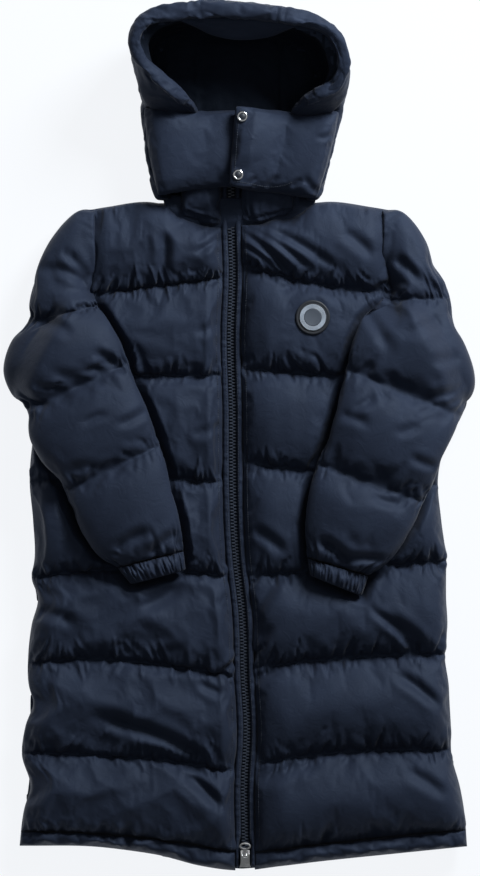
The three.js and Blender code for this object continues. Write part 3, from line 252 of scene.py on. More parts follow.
def grid_numbers(piece):
    count = len(piece.data.vertices)
    row = np.empty(count, int)
    column = np.empty(count, int)
    piece.data.attributes["row"].data.foreach_get("value", row)
    piece.data.attributes["column"].data.foreach_get("value", column)
    return row, column


def close_ends(piece):
    shape = bmesh.new()
    shape.from_mesh(piece.data)
    rims = [edge for edge in shape.edges if edge.is_boundary]
    filled = bmesh.ops.holes_fill(shape, edges=rims, sides=0)
    bmesh.ops.triangulate(shape, faces=filled["faces"])
    shape.to_mesh(piece.data)
    shape.free()


def read_places(mesh):
    flat = np.empty(len(mesh.vertices) * 3)
    mesh.vertices.foreach_get("co", flat)
    return flat.reshape(-1, 3)


def normals_of(piece):
    flat = np.empty(len(piece.data.vertices) * 3)
    piece.data.vertices.foreach_get("normal", flat)
    return flat.reshape(-1, 3)


def write_places(mesh, places):
    mesh.vertices.foreach_set("co", places.ravel())
    mesh.update()


def puff(piece, sewn, pressure=3.0, growth=0.06, steps=20, reach=14.0):
    group = piece.vertex_groups.new(name="sewn")
    group.add([int(i) for i in np.flatnonzero(sewn)], 1.0, "REPLACE")
    start = read_places(piece.data)
    cloth = piece.modifiers.new("puff", "CLOTH")
    settings = cloth.settings
    settings.vertex_group_mass = "sewn"
    settings.quality = 4
    settings.mass = 0.25
    settings.tension_stiffness = 18.0
    settings.compression_stiffness = 18.0
    settings.shear_stiffness = 6.0
    settings.bending_stiffness = 0.25
    settings.air_damping = 2.0
    settings.use_pressure = True
    settings.uniform_pressure_force = pressure
    settings.shrink_min = -growth
    settings.effector_weights.gravity = 0.0
    cloth.collision_settings.use_collision = False
    cloth.point_cache.frame_start = 1
    cloth.point_cache.frame_end = steps
    for step in range(1, steps + 1):
        bpy.context.scene.frame_set(step)
    graph = bpy.context.evaluated_depsgraph_get()
    puffed = read_places(piece.evaluated_get(graph).to_mesh())
    piece.evaluated_get(graph).to_mesh_clear()
    piece.modifiers.clear()
    moved = puffed - start
    length = np.linalg.norm(moved, axis=1, keepdims=True)
    cap = reach * MM
    moved *= np.minimum(1.0, cap / np.maximum(length, 1e-9))
    write_places(piece.data, start + moved)
    bpy.context.scene.frame_set(1)
    print(piece.name, "puffed by up to", round(float(length.max()) / MM, 1), "mm")


def uneven(a, b):
    return noise.noise(Vector((a, b, 0.37)))


def smoothstep(value, low, high):
    part = np.clip((value - low) / (high - low), 0.0, 1.0)
    return part * part * (3 - 2 * part)


def round_off(distance, radius):
    part = np.clip(distance / radius, 0.0, 1.0)
    return np.sqrt(1 - (1 - part) ** 2)


# %% [markdown]
# ## The sleeves' plan
# Each sleeve is a padded tube that leaves the shoulder, bends at the elbow and comes to rest on
# the coat's front. The front is pressed thin under it. The same table serves both: it tells the
# front where it is pressed, and it gives the sleeve its sections.

# %% Sleeve tables
# outer edge x and y, inner edge x and y, height of the padded tube, climb onto the front
sleeve_rows = {
    "left": [
        (-209, 333, -206, 216, 62, 0), (-238, 327, -207, 214, 64, 0),
        (-272, 288, -209, 211, 66, 0), (-294, 243, -210, 207, 66, 0.15),
        (-304, 198, -208, 201, 64, 0.75), (-307, 168, -204, 192, 62, 1),
        (-330, 139, -196, 180, 64, 1), (-341, 99, -185, 162, 68, 1), (-330, 65, -171, 137, 66, 1),
        (-307, 41, -159, 108, 62, 1), (-302, 0, -146, 72, 66, 1), (-283, -35, -132, 38, 66, 1),
        (-257, -67, -118, 0, 60, 1), (-243, -99, -107, -34, 62, 1), (-228, -133, -97, -76, 60, 1),
        (-205, -167, -86, -119, 54, 1), (-176, -187, -80, -163, 44, 1),
    ],
    "right": [
        (209, 333, 206, 216, 62, 0), (238, 328, 207, 214, 64, 0), (265, 298, 209, 211, 66, 0),
        (285, 257, 210, 207, 66, 0.15), (305, 210, 208, 202, 62, 0.75), (312, 172, 203, 196, 64, 1),
        (329, 134, 194, 188, 68, 1), (341, 96, 177, 169, 70, 1), (341, 66, 164, 138, 66, 1),
        (326, 38, 156, 108, 62, 1), (308, 3, 148, 72, 68, 1), (292, -30, 138, 32, 68, 1),
        (282, -61, 127, -6, 64, 1), (268, -92, 113, -36, 58, 1), (250, -128, 103, -74, 62, 1),
        (222, -172, 96, -126, 54, 1), (188, -199, 99, -173, 44, 1),
    ],
}
sleeve_seams = {"left": [0, 5, 9, 12.3, 16], "right": [0, 4.2, 9.2, 13, 16]}
cap_slope = {"left": 0.25, "right": 0.75}
# the cuff's two ends: outer edge x and y, inner edge x and y
cuff_rows = {
    "left": [(-175.6, -187.8, -80, -163.9), (-157, -211, -77, -190)],
    "right": [(187.6, -200, 99.2, -174), (178, -228, 103, -198)],
}
sleeve_curves = {
    side: [curve_through(range(len(rows)), column) for column in columns(rows)]
    for side, rows in sleeve_rows.items()
}


def sleeve_outline(side):
    rows = [row[:4] for row in sleeve_rows[side][4:]] + cuff_rows[side]
    outer = [row[:2] for row in rows]
    inner = [row[2:4] for row in rows]
    return np.array(outer + inner[::-1], float)


def depth_inside(outline, x, y):
    nearest = np.full(x.shape, 1e9)
    inside = np.zeros(x.shape, bool)
    for (ax, ay), (bx, by) in zip(outline, np.roll(outline, -1, axis=0)):
        along = ((x - ax) * (bx - ax) + (y - ay) * (by - ay)) / ((bx - ax) ** 2 + (by - ay) ** 2)
        part = np.clip(along, 0, 1)
        away = np.hypot(x - ax - part * (bx - ax), y - ay - part * (by - ay))
        nearest = np.minimum(nearest, away)
        level = by - ay if by != ay else 1e-9
        crosses = ((ay > y) != (by > y)) & (x < (bx - ax) * (y - ay) / level + ax)
        inside ^= crosses
    return np.where(inside, nearest, -nearest)


# %% [markdown]
# ## The two fronts
# Each front is one panel with seven padded channels. Its grid has a row on every seam, and the
# rows between them rise in an arch. Long creases cross the channels near the zip and the arms,
# where the coat was pulled straight after it was laid down. They are put in one by one, each with
# its own length, width and depth, after the cloth has been puffed and puckered. The front stays
# thin under each sleeve, which presses it flat.

# %% Shape and puff the fronts
# thickness at a seam, rise of the crown above it, and how square and how lopsided its arch is
seam_thickness = 8.5
crown_loft = 31.0
channel_square = 0.4
channel_lean = 1.15
# thickness under a sleeve, at the rim, at the armhole and beside the zip, and the least left
pressed_thickness = 12.5
rim_thickness = 2.0
armhole_thickness = 6.0
zip_edge = 8.0
least_padding = 5
# how far in from each edge the panel rounds off
side_round = 38.0
armhole_round = 50.0
zip_round = {"left": 24.0, "right": 50.0}
hem_round = 12
# where the armhole starts and ends, and how far outside and inside a sleeve's outline it presses
armhole_band = (197, 213)
press_band = (-15, 6)
# shares of the loft that are left beside the zip, in the hem band and at the hem
zip_loft = 0.25
zip_blend = 0.3
hem_loft = 0.42
hem_edge = 0.45
# how far the rim laps outwards, and the badge's flat seat with the slope that leads down from it
rim_lap = 0.25
badge_seat = {"height": 38.0, "radius": 25.0, "slope": (2, 20)}
# unevenness of the seams and of the cloth between them
seam_waver = 3.0
face_waver = 1.6
# quilted channels in a front, the height of one, and the grid's rows across one
channels = 7
channel_tall = 125.0
panel_rows = 30
# how far puckers run from a seam, and how deep they are, in the channels above and below it
pucker_reach = {"above": 17.0, "below": 11.0}
front_pucker = {"above": 10.0, "below": 8.0}
sleeve_pucker = {"above": 9.0, "below": 7.0}
# spacing, share of the reach, depth and a number that sets one size apart from the other
pucker_sizes = [(7.0, 0.9, 0.7, 0.0), (15.0, 1.7, 1.0, 40.0)]
# start x and y, end x and y, width, depth
front_creases = {
    "left": [
        (-212, -402, -30, -476, 9, 12), (-150, -446, -24, -500, 7, 7), (-78, -484, -22, -540, 8, 11),
        (-108, 300, -112, 228, 7, 8), (-24, 296, -64, 268, 5, 5), (-160, -600, -158, -556, 5, 8),
        (-292, -250, -236, -268, 8, 6), (-84, -214, -150, -250, 9, 7), (-24, -372, -60, -352, 6, 7),
        (-26, 170, -64, 150, 6, 4), (-196, -586, -196, -556, 4, 8), (-24, 20, -70, 4, 6, 4),
    ],
    "right": [
        (6, 300, 80, 230, 6, 9), (14, 306, 112, 236, 5, 6), (30, 308, 150, 240, 6, 6),
        (4, 282, 52, 244, 4, 6), (211, -256, 290, -330, 8, 10), (226, -340, 294, -392, 7, 8),
        (190, -246, 262, -316, 5, 6), (120, -600, 134, -560, 5, 8), (18, -130, 70, -168, 7, 6),
        (30, -500, 110, -470, 9, 6), (240, -480, 302, -520, 8, 6), (60, 212, 96, 232, 6, 5),
        (150, 300, 196, 262, 8, 6), (18, -356, 66, -330, 6, 6), (8, 74, 54, 88, 5, 4),
        (24, -260, 60, -196, 8, 7), (22, -320, 48, -270, 7, 6),
    ],
}


def seam_height(row, share):
    side, middle, at_zip = row
    bend = middle - (side + at_zip) / 2
    return side + (at_zip - side) * share + bend * 4 * share * (1 - share)


def front_inner(side, y):
    return zip_x(y) + (-1 if side == "left" else 1) * (placket_half + seam_gap)


def line_height(side, line, share, x):
    rows = seam_rows[side]
    if line == 0:
        return shoulder_y(x)
    if line > len(rows):
        return hem_y(x)
    return seam_height(rows[line - 1], share)


def crease_depth(creases, x, y):
    depth = np.zeros(x.shape)
    for from_x, from_y, to_x, to_y, width, deep in creases:
        run = np.array([to_x - from_x, to_y - from_y], float)
        length = np.hypot(*run)
        along = ((x - from_x) * run[0] + (y - from_y) * run[1]) / length**2
        bow = 0.04 * length * np.sin(np.pi * np.clip(along, 0, 1))
        across = ((x - from_x) * run[1] - (y - from_y) * run[0]) / length + bow
        fade = smoothstep(along, -0.08, 0.25) * (1 - smoothstep(along, 0.7, 1.08))
        trough = np.exp(-((across / width) ** 2))
        ridge = np.exp(-(((np.abs(across) - 2.1 * width) / width) ** 2))
        depth += deep * fade * (trough - 0.25 * ridge)
    return depth


def front_plan(side, bands, rows_per_band, cols):
    share = 0.5 - 0.5 * np.cos(np.pi * np.linspace(0, 1, cols))
    share = 0.35 * share + 0.65 * np.linspace(0, 1, cols)
    stations = [(band, part) for band in bands for part in np.arange(rows_per_band) / rows_per_band]
    stations.append((bands[-1], 1.0))
    plan = np.zeros((len(stations), cols, 2))
    for j, (band, part) in enumerate(stations):
        x = np.linspace(body_edge[side](0), 0, cols)
        for _ in range(5):
            top = line_height(side, band, share, x)
            low = line_height(side, band + 1, share, x)
            y = top + (low - top) * part
            edge = body_edge[side](np.minimum(y, shoulder_line))
            x = edge + (front_inner(side, y) - edge) * share
        plan[j, :, 0] = x
        plan[j, :, 1] = y
    return plan, stations


def front_height(side, plan, stations):
    x, y = plan[..., 0], plan[..., 1]
    part = np.array([part for _, part in stations])[:, None]
    hem_band = np.array([band == len(seam_rows[side]) for band, _ in stations])[:, None]
    arch = np.sin(np.pi * part**channel_lean) ** channel_square * np.where(hem_band, hem_loft, 1.0)
    edge = body_edge[side](np.minimum(y, shoulder_line))
    armhole = smoothstep(y, *armhole_band)
    side_fall = round_off(np.abs(x - edge), side_round + (armhole_round - side_round) * armhole)
    rim = rim_thickness + (armhole_thickness - rim_thickness) * armhole
    zip_fall = round_off(np.abs(front_inner(side, y) - x), zip_round[side])
    loft = seam_thickness + crown_loft * arch * (zip_loft + (1 - zip_loft) * zip_fall)
    height = rim + (loft - rim) * side_fall
    share = zip_blend + (1 - zip_blend) * zip_fall
    height = np.minimum(height, zip_edge) * (1 - share) + height * share
    pressed = smoothstep(depth_inside(sleeve_outline(side), x, y), *press_band)
    height = height * (1 - pressed) + np.minimum(height, pressed_thickness) * pressed
    if side == "right":
        away = np.hypot(x - badge_plan[0], y - badge_plan[1])
        start, end = (badge_seat["radius"] + step for step in badge_seat["slope"])
        near = 1 - smoothstep(away, start, end)
        height = height * (1 - near) + badge_seat["height"] * near
    hem_fall = hem_edge + (1 - hem_edge) * round_off(y - hem_y(x), hem_round)
    return np.maximum(height * hem_fall, rim_thickness), pressed


def to_frame(x, y, z):
    return np.stack([x + shift_x, y + shift_y, z], axis=-1)


def table_place(spots):
    return spots[:, 0] - shift_x, spots[:, 1] - shift_y, spots[:, 2]


# The noise crosses zero along thin lines. Each line that meets the seam is the trough of a pucker,
# deepest near the thread and gone at the end of its reach, with the cloth raised between troughs.
def pinch(along, away, seam, reach):
    lean = noise.noise(Vector((along / 41, seam * 4.3, 1.7)))
    at = along + away * 2.2 * lean
    length = reach * (0.55 + 1.6 * abs(noise.noise(Vector((along / 27, seam * 3.7, 9.1)))))
    total = 0.0
    for period, share, deep, key in pucker_sizes:
        left = 1 - away / (length * share)
        if left <= 0:
            continue
        crossing = abs(noise.noise(Vector((at / period, seam * 7.9 + key, away / 130))))
        trough = max(0.0, 1 - crossing / (0.07 + 0.2 * left))
        total += deep * (trough - 0.25) * math.sqrt(left)
    return total * float(smoothstep(away, 0.0, 6.0))


def pucker_front(piece, stations, pressed):
    spots = read_places(piece.data)
    normals = normals_of(piece)
    row, column = grid_numbers(piece)
    for k, spot in enumerate(spots):
        j, i = row[k] - 1, column[k] - 1
        if not (0 <= j < pressed.shape[0] and 0 <= i < pressed.shape[1]):
            continue
        band, part = stations[j]
        x = spot[0] / MM - shift_x
        above = pinch(x, (1 - part) * channel_tall, band + 1, pucker_reach["above"])
        below = pinch(x, part * channel_tall, band + 0.5, pucker_reach["below"])
        above *= 1.0 if band < channels - 1 else 0.6
        below *= 1.0 if band else 0.35
        low = (front_pucker["above"] * above + front_pucker["below"] * below) * (1 - pressed[j, i])
        room = max(spot[2] / MM - layer - least_padding, 0)
        spots[k] -= normals[k] * min(low, room) * MM
    write_places(piece.data, spots)


def fold_down(piece, creases, floor):
    spots = read_places(piece.data)
    x, y, z = table_place(spots / MM)
    room = np.maximum(z - floor, 0.0)
    spots[:, 2] = (z - np.minimum(crease_depth(creases, x, y), room)) * MM
    write_places(piece.data, spots)


def front(side, name, bands, rows_per_band, cols, growth):
    plan, stations = front_plan(side, bands, rows_per_band, cols)
    height, pressed = front_height(side, plan, stations)
    rows = len(stations)
    seam_places = [j for j, (_, part) in enumerate(stations) if part in (0.0, 1.0)]
    waver = np.zeros((rows, cols))
    for j in seam_places:
        for i in range(cols):
            waver[j, i] = seam_waver * uneven(i * 0.21, j * 1.7)
    for j in range(rows):
        for i in range(cols):
            height[j, i] += face_waver * uneven(i * 0.11, j * 0.1) * (1 - pressed[j, i])
    inside = np.zeros((rows, cols), bool)
    inside[1:-1, 1:-1] = True
    height = np.where(inside, height, np.minimum(height, seam_thickness))
    height[seam_places] += waver[seam_places] * inside[seam_places]
    places = to_frame(plan[..., 0], plan[..., 1] + waver * inside, layer + height)
    rim = np.pad(places, ((1, 1), (1, 1), (0, 0)), mode="edge")
    outline = np.ones(rim.shape[:2], bool)
    outline[1:-1, 1:-1] = False
    rim[..., 2] = np.where(outline, layer + 0.2, rim[..., 2])
    outward = -1 if side == "left" else 1
    rim[0, :, 1] += rim_lap
    rim[-1, :, 1] -= rim_lap
    rim[:, 0, 0] += outward * rim_lap
    rim[:, -1, 0] -= outward * rim_lap
    piece = grid_piece(name, rim)
    sewn = outline.copy()
    sewn[1, :] = sewn[-2, :] = True
    sewn[:, 1] = sewn[:, -2] = True
    sewn[np.array(seam_places) + 1, :] = True
    sewn[1:-1, 1:-1] |= pressed > 0.6
    if side == "right":
        away = np.hypot(plan[..., 0] - badge_plan[0], plan[..., 1] - badge_plan[1])
        sewn[1:-1, 1:-1] |= away < badge_seat["radius"]
    puff(piece, sewn[grid_numbers(piece)], pressure=3.2, growth=growth, steps=16, reach=9.0)
    if len(bands) > 1:
        pucker_front(piece, stations, pressed)
    fold_down(piece, front_creases[side], floor=layer + least_padding)
    return piece


coat_pieces = []
for side in ("left", "right"):
    panel = front(
        side, f"quilted_front_{side}", bands=list(range(channels)), rows_per_band=panel_rows,
        cols=108, growth=0.014,
    )
    hem = front(
        side, f"hem_band_front_{side}", bands=[channels], rows_per_band=8, cols=120, growth=0.04
    )
    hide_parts(f"front_{side}")
    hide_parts(f"hem_front_{side}")
    coat_pieces += [panel, hem]
    print(panel.name, len(panel.data.polygons), "faces")

# %% [markdown]
# ## Sleeves
# A sleeve is sewn into a tube, with the padding between two layers, so it holds itself open and
# sags under its own weight. Each ring of the grid is one section of that tube: round on top, flat
# below where it lies on the front. The rings at the quilting seams are pinned smaller, and the
# cloth between them is puffed. Dark valleys at the elbow and above the cuff are put in one by one.

# %% Shape and puff the sleeves
# how square a section is across and up, the share of it below its middle, its height at a seam
section_square = 0.85
section_sides = 0.72
belly = 0.42
seam_share = 0.72
crown_share = 0.98
# height at which a sleeve lies beside the coat, its gap above the front, and where it climbs on
floor_climb = 10
sleeve_clearance = 3.6
climb_band = (-42, -4)
# lengths that the puckers are spread over: round the sleeve and from seam to seam
sleeve_girth = 330
sleeve_channel = {"upper": 120.0, "lower": 95.0}
elbow_section = 9
tube_columns = 96
tube_rows = 26
# start x and y, end x and y, width, depth
sleeve_creases = {
    "left": [
        (-318, 62, -276, 46, 6, 9), (-209, 125, -165, 96, 6, 8), (-180, -163, -128, -132, 7, 9),
        (-275, 252, -211, 219, 6, 8), (-257, 272, -238, 255, 5, 6), (-128, 44, -176, 18, 6, 6),
        (-296, 252, -262, 236, 6, 5), (-252, -52, -206, -36, 6, 5), (-300, 176, -240, 150, 7, 6),
        (-130, -169, -86, -135, 6, 9), (-270, 96, -216, 70, 7, 5), (-226, 20, -190, 36, 5, 5),
        (-214, 232, -246, 268, 6, 6),
    ],
    "right": [
        (114, -146, 158, -178, 7, 11), (150, -176, 214, -176, 6, 8), (318, 70, 262, 58, 6, 7),
        (226, 262, 262, 226, 6, 8), (214, 214, 262, 186, 6, 7), (170, 200, 220, 120, 7, 6),
        (296, 176, 232, 148, 7, 5), (196, 60, 160, 40, 5, 5), (262, 20, 226, 6, 6, 5),
        (236, -96, 190, -84, 6, 5),
        (206, 92, 250, 62, 7, 6), (322, 118, 276, 112, 7, 5), (146, 34, 188, 20, 6, 6),
        (286, -42, 246, -26, 6, 6), (292, 214, 262, 232, 6, 5),
    ],
}


def section_ring(side, section, tall, angles, wide=1.0, hollow=None):
    outer_x, outer_y, inner_x, inner_y, _, lift = section
    c, s = np.cos(angles), np.sin(angles)
    across = 0.5 - 0.5 * wide * np.sign(c) * np.abs(c) ** section_square
    x = outer_x + (inner_x - outer_x) * across
    y = outer_y + (inner_y - outer_y) * across
    edge = body_edge[side](np.minimum(y, shoulder_line))
    inside_body = x - edge if side == "left" else edge - x
    on_front = layer + pressed_thickness + sleeve_clearance
    climb = floor_climb + (on_front - floor_climb) * smoothstep(inside_body, *climb_band)
    rest = np.clip(lift, 0, 1) * climb
    reach = np.where(s > 0, tall * (1 - belly), tall * belly)
    middle = rest + tall * belly
    if hollow:
        reach = hollow / 2
        middle = rest + tall * 0.46
    z = middle + reach * np.sign(s) * np.abs(s) ** section_sides
    return to_frame(x, y, z)


def pucker_sleeve(piece, side, stations):
    spots = read_places(piece.data)
    normals = normals_of(piece)
    row, column = grid_numbers(piece)
    offset = 20 if side == "left" else 31
    for k in range(len(spots)):
        at, part = stations[row[k]]
        along = (column[k] % tube_columns) / tube_columns * sleeve_girth
        tall = sleeve_channel["upper" if at < elbow_section else "lower"]
        band = sum(at >= seam for seam in sleeve_seams[side][1:-1])
        above = pinch(along, (1 - part) * tall, offset + band + 1, pucker_reach["above"])
        below = pinch(along, part * tall, offset + band + 0.5, pucker_reach["below"])
        if at < sleeve_seams[side][1] / 2:
            below *= 0.3
        low = sleeve_pucker["above"] * above + sleeve_pucker["below"] * below
        low *= smoothstep(normals[k][2], -0.1, 0.5)
        spots[k] -= normals[k] * low * MM
    write_places(piece.data, spots)


def sleeve(side):
    seams = sleeve_seams[side]
    angles = np.linspace(0, 2 * np.pi, tube_columns + 1)
    stations = []
    for start, end in zip(seams, seams[1:]):
        for k in range(tube_rows):
            stations.append((start + (end - start) * k / tube_rows, k / tube_rows))
    stations.append((seams[-1], 1.0))
    rings = []
    for j, (at, part) in enumerate(stations):
        section = [curve(at) for curve in sleeve_curves[side]]
        rise = math.sin(math.pi * part**channel_lean) ** channel_square
        if at < (seams[1] - seams[0]) / 2:
            rise = max(rise, 0.7)
        arch = seam_share + (crown_share - seam_share) * rise
        ring = section_ring(side, section, section[4] * arch, angles)
        on_top = np.clip(np.sin(angles), 0, 1)
        towards_front = smoothstep(-np.cos(angles), -0.1, 1.0) * on_top**0.3
        slope = cap_slope[side] * (1 - smoothstep(at, 5.0, 8.5))
        ring[:-1, 2] -= (slope * towards_front * (ring[:, 2] - ring[:, 2].min()))[:-1]
        ring[-1, 2] = ring[0, 2]
        for k in range(tube_columns + 1):
            ring[k, 2] += 1.4 * on_top[k] * uneven((k % tube_columns) * 0.13, j * 0.12)
        rings.append(ring)
    piece = grid_piece(f"quilted_sleeve_{side}", np.array(rings), wrap=True)
    rows = [j for j, (_, part) in enumerate(stations) if part in (0.0, 1.0)]
    row, column = grid_numbers(piece)
    low = np.sin(angles) < -0.55
    sewn = np.isin(row, rows) | low[column]
    puff(piece, sewn, pressure=3.0, growth=0.018, steps=16, reach=9.0)
    pucker_sleeve(piece, side, stations)
    fold_down(piece, sleeve_creases[side], floor=layer + 26)
    close_ends(piece)
    return piece


for side in ("left", "right"):
    tube = sleeve(side)
    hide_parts(f"sleeve_{side}")
    coat_pieces.append(tube)
    print(tube.name, len(tube.data.polygons), "faces")

# %% [markdown]
# ## Cuffs
# A band of elastic gathers the end of each sleeve. Gathers are many short folds of unequal width.
# They fade towards the flat underside. The tube turns in at its mouth, so that the opening is a
# real hollow with cloth inside it.

# %% Gathered cuffs
cuff_tall = 34.0
cuff_swell = 5.0
gather_depth = 4.6
mouth_gather = 1.2


def cuff(side):
    start, end = cuff_rows[side]
    angles = np.linspace(0, 2 * np.pi, 145)
    rings = []
    # share of the cuff's length, share of its width, height of the hollow once it has turned in
    outside = [(part, 1.0, None) for part in np.linspace(0, 1, 12)]
    mouth = [(1.035, 0.9, 27.0), (1.03, 0.76, 19.0)]
    within = [(part, 0.63, 14.0) for part in np.linspace(0.97, 0.1, 6)]
    for part, wide, hollow in outside + mouth + within:
        section = [a + (b - a) * part for a, b in zip(start, end)]
        tall = cuff_tall + cuff_swell * math.sin(math.pi * min(part, 1))
        ring = section_ring(side, section + [tall, 1.0], tall, angles, wide, hollow)
        depth = mouth_gather if hollow else gather_depth
        for k, angle in enumerate(angles):
            around = Vector((math.cos(angle) * 12.5, math.sin(angle) * 3.0, part * 0.9))
            swell = abs(noise.noise(around))
            fold = 2.6 * swell - 0.34 if swell < 0.26 else 0.34
            ring[k, 2] += depth * 1.6 * fold * max(math.sin(angle) + 0.35, 0)
        rings.append(ring)
    piece = grid_piece(f"gathered_cuff_{side}", np.array(rings), wrap=True)
    close_ends(piece)
    return piece


for side in ("left", "right"):
    band = cuff(side)
    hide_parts(f"cuff_{side}")
    coat_pieces.append(band)
print("cuffs made")

# %% [markdown]
# ## Hood, chin guard, collar and back
# These pieces are padded shapes with no long channels. Each starts as a copy of its solid from the
# frame, merged and remeshed into small even faces. The hood's two sides and its centre strip are
# joined into one shell first, because sewn cloth shows no gap between them. The faces that lie on
# another piece are pinned and the rest is puffed, so each piece keeps its place and takes the
# soft dents of a filled one.

# %% Padded copies of the frame's solids
def joined_copy(nodes, name):
    shape = bmesh.new()
    for node in nodes:
        shape.from_mesh(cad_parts[node].data)
    bmesh.ops.remove_doubles(shape, verts=shape.verts, dist=0.00002)
    return finished(shape, name)


def apply_modifiers(piece):
    graph = bpy.context.evaluated_depsgraph_get()
    mesh = bpy.data.meshes.new_from_object(piece.evaluated_get(graph))
    piece.modifiers.clear()
    piece.data = mesh


def even_faces(piece, voxel, smooth_steps):
    remesh = piece.modifiers.new("even faces", "REMESH")
    remesh.mode = "VOXEL"
    remesh.voxel_size = voxel * MM
    smooth = piece.modifiers.new("soft", "SMOOTH")
    smooth.factor = 0.5
    smooth.iterations = smooth_steps
    apply_modifiers(piece)
    for face in piece.data.polygons:
        face.use_smooth = True


def wrinkle(piece, depth, size, stretch=(1.0, 1.0, 1.0), only_up=False):
    spots = read_places(piece.data)
    normals = normals_of(piece)
    for k in range(len(spots)):
        place = Vector(spots[k] * np.array(stretch)) / (size * MM)
        push = noise.noise(place) + 0.5 * noise.noise(place * 2.1)
        if only_up:
            push *= max(normals[k][2], 0.0)
        spots[k] += normals[k] * push * depth * MM
    write_places(piece.data, spots)


def padded_copy(node, name, voxel, pins, pressure=3.0, growth=0.05, reach=5.0, dents=1.2, size=26):
    piece = joined_copy([node], name)
    even_faces(piece, voxel, 4)
    wrinkle(piece, dents, size)
    spots = read_places(piece.data) / MM
    puff(piece, pins(spots, normals_of(piece)), pressure, growth, steps=14, reach=reach)
    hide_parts(node)
    coat_pieces.append(piece)
    print(piece.name, len(piece.data.polygons), "faces")
    return piece


def hood_pins(spots, normals):
    _, y, z = table_place(spots)
    return (z < 4) | (normals[:, 2] < -0.4) | (y < 352)


hood_nodes = ("hood_side_left", "hood_centre", "hood_side_right")
hood = joined_copy(hood_nodes, "hood_shell")
even_faces(hood, 4.2, 6)
wrinkle(hood, 1.3, 26)
hood_spots = read_places(hood.data) / MM
puff(hood, hood_pins(hood_spots, normals_of(hood)), pressure=3.0, growth=0.03, steps=12, reach=5.0)
wrinkle(hood, 1.0, 12, (1.0, 1.0, 0.5))
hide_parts(*hood_nodes)
coat_pieces.append(hood)
print("hood:", len(hood.data.polygons), "faces")

# %% [markdown]
# ## Hood brim
# The brim is a narrow padded roll round the face opening, sewn across at two places. Its tube
# follows the frame's brim line, is pinned where it meets the hood, and is puffed between. Its foot
# reaches down into the hood's wall, so that no light shows between them, and its two ends go down
# behind the chin guard.

# %% Puff the brim
# centre x and y, half width, height of the centre
brim_rows = [
    (-60, 468, 6, 58), (-72, 482, 8, 88), (-92, 500, 11, 114), (-120, 526, 9, 130.4),
    (-143, 551, 8, 139.6), (-147, 577, 8, 143.8),
    (-133, 599, 10, 145.8), (-100, 610, 13, 145.8), (-55, 615, 13, 145.8), (0, 614, 14, 145.8),
    (55, 608, 13, 145.8), (98, 599, 11, 145.8), (128, 584, 9, 145.8), (145, 560, 8, 142),
    (148, 531, 8, 136), (134, 508, 9, 125), (110, 494, 10, 114),
    (88, 480, 8, 90), (76, 466, 6, 60),
]
brim_half_height = 13.0
# height of the brim's upper half at the sides, what the crown adds, and where that starts and ends
brim_flat = 0.45
crown_gain = 0.5
crown_band = (530, 600)
brim_foot = 1.55
brim_seams = (-66.0, 54.0)
crown_line = 590
brim_steps = 230
brim_round = 32


def brim():
    knots = range(len(brim_rows))
    line = [curve_through(knots, column) for column in columns(brim_rows)]
    at = np.linspace(0, len(brim_rows) - 1, brim_steps)
    centre = np.stack([line[0](at), line[1](at), line[3](at)], axis=-1)
    half = line[2](at)
    run = np.gradient(centre, axis=0)
    across = np.stack([run[:, 1], -run[:, 0], np.zeros(brim_steps)], axis=-1)
    across /= np.linalg.norm(across, axis=1, keepdims=True)
    angles = np.linspace(0, 2 * np.pi, brim_round + 1)
    rings = np.zeros((brim_steps, brim_round + 1, 3))
    steps = np.arange(brim_steps)
    end_fall = round_off(np.minimum(steps, steps[::-1]) + 0.6, 9)
    seam_fall = np.ones(brim_steps)
    for seam in brim_seams:
        dip = 0.28 * np.exp(-(((centre[:, 0] - seam) / 4) ** 2))
        seam_fall -= dip * (centre[:, 1] > crown_line)
    crown_height = brim_flat + crown_gain * smoothstep(centre[:, 1], *crown_band)
    for k, angle in enumerate(angles):
        size = half * 0.97 * end_fall * math.cos(angle)
        rings[:, k] = centre + across * size[:, None]
        tall = brim_half_height * (crown_height if math.sin(angle) > 0 else brim_foot)
        rings[:, k, 2] += tall * math.sin(angle) * end_fall * seam_fall
    rings += table_shift
    piece = grid_piece("hood_brim_roll", rings, wrap=True)
    row, column = grid_numbers(piece)
    below = np.sin(angles)[column] < -0.35
    seam_steps = []
    for seam in brim_seams:
        apart = np.abs(centre[:, 0] - seam) + 999 * (centre[:, 1] < crown_line)
        seam_steps.append(int(np.argmin(apart)))
    sewn = below | np.isin(row, seam_steps) | (row < 3) | (row > brim_steps - 4)
    puff(piece, sewn, pressure=2.5, growth=0.06, steps=16, reach=4.0)
    wrinkle(piece, 1.6, 22)
    wrinkle(piece, 0.8, 9)
    close_ends(piece)
    return piece


roll = brim()
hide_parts("hood_brim")
coat_pieces.append(roll)

# %% [markdown]
# ## Cheeks and the inner fold of the hood
# Below the brim the hood's front edges slant down behind the chin guard, and the cloth between the
# brim and the outline makes a cheek on each side. A loose fold of the lining cloth hangs just
# inside the brim at the crown, and gathered cloth lies behind the collar at the neck. Each is one
# patch between two edges, with its rim turned under.

# %% Cheeks and inner fold
patch_thickness = 5.0
patch_ripple = 2.2


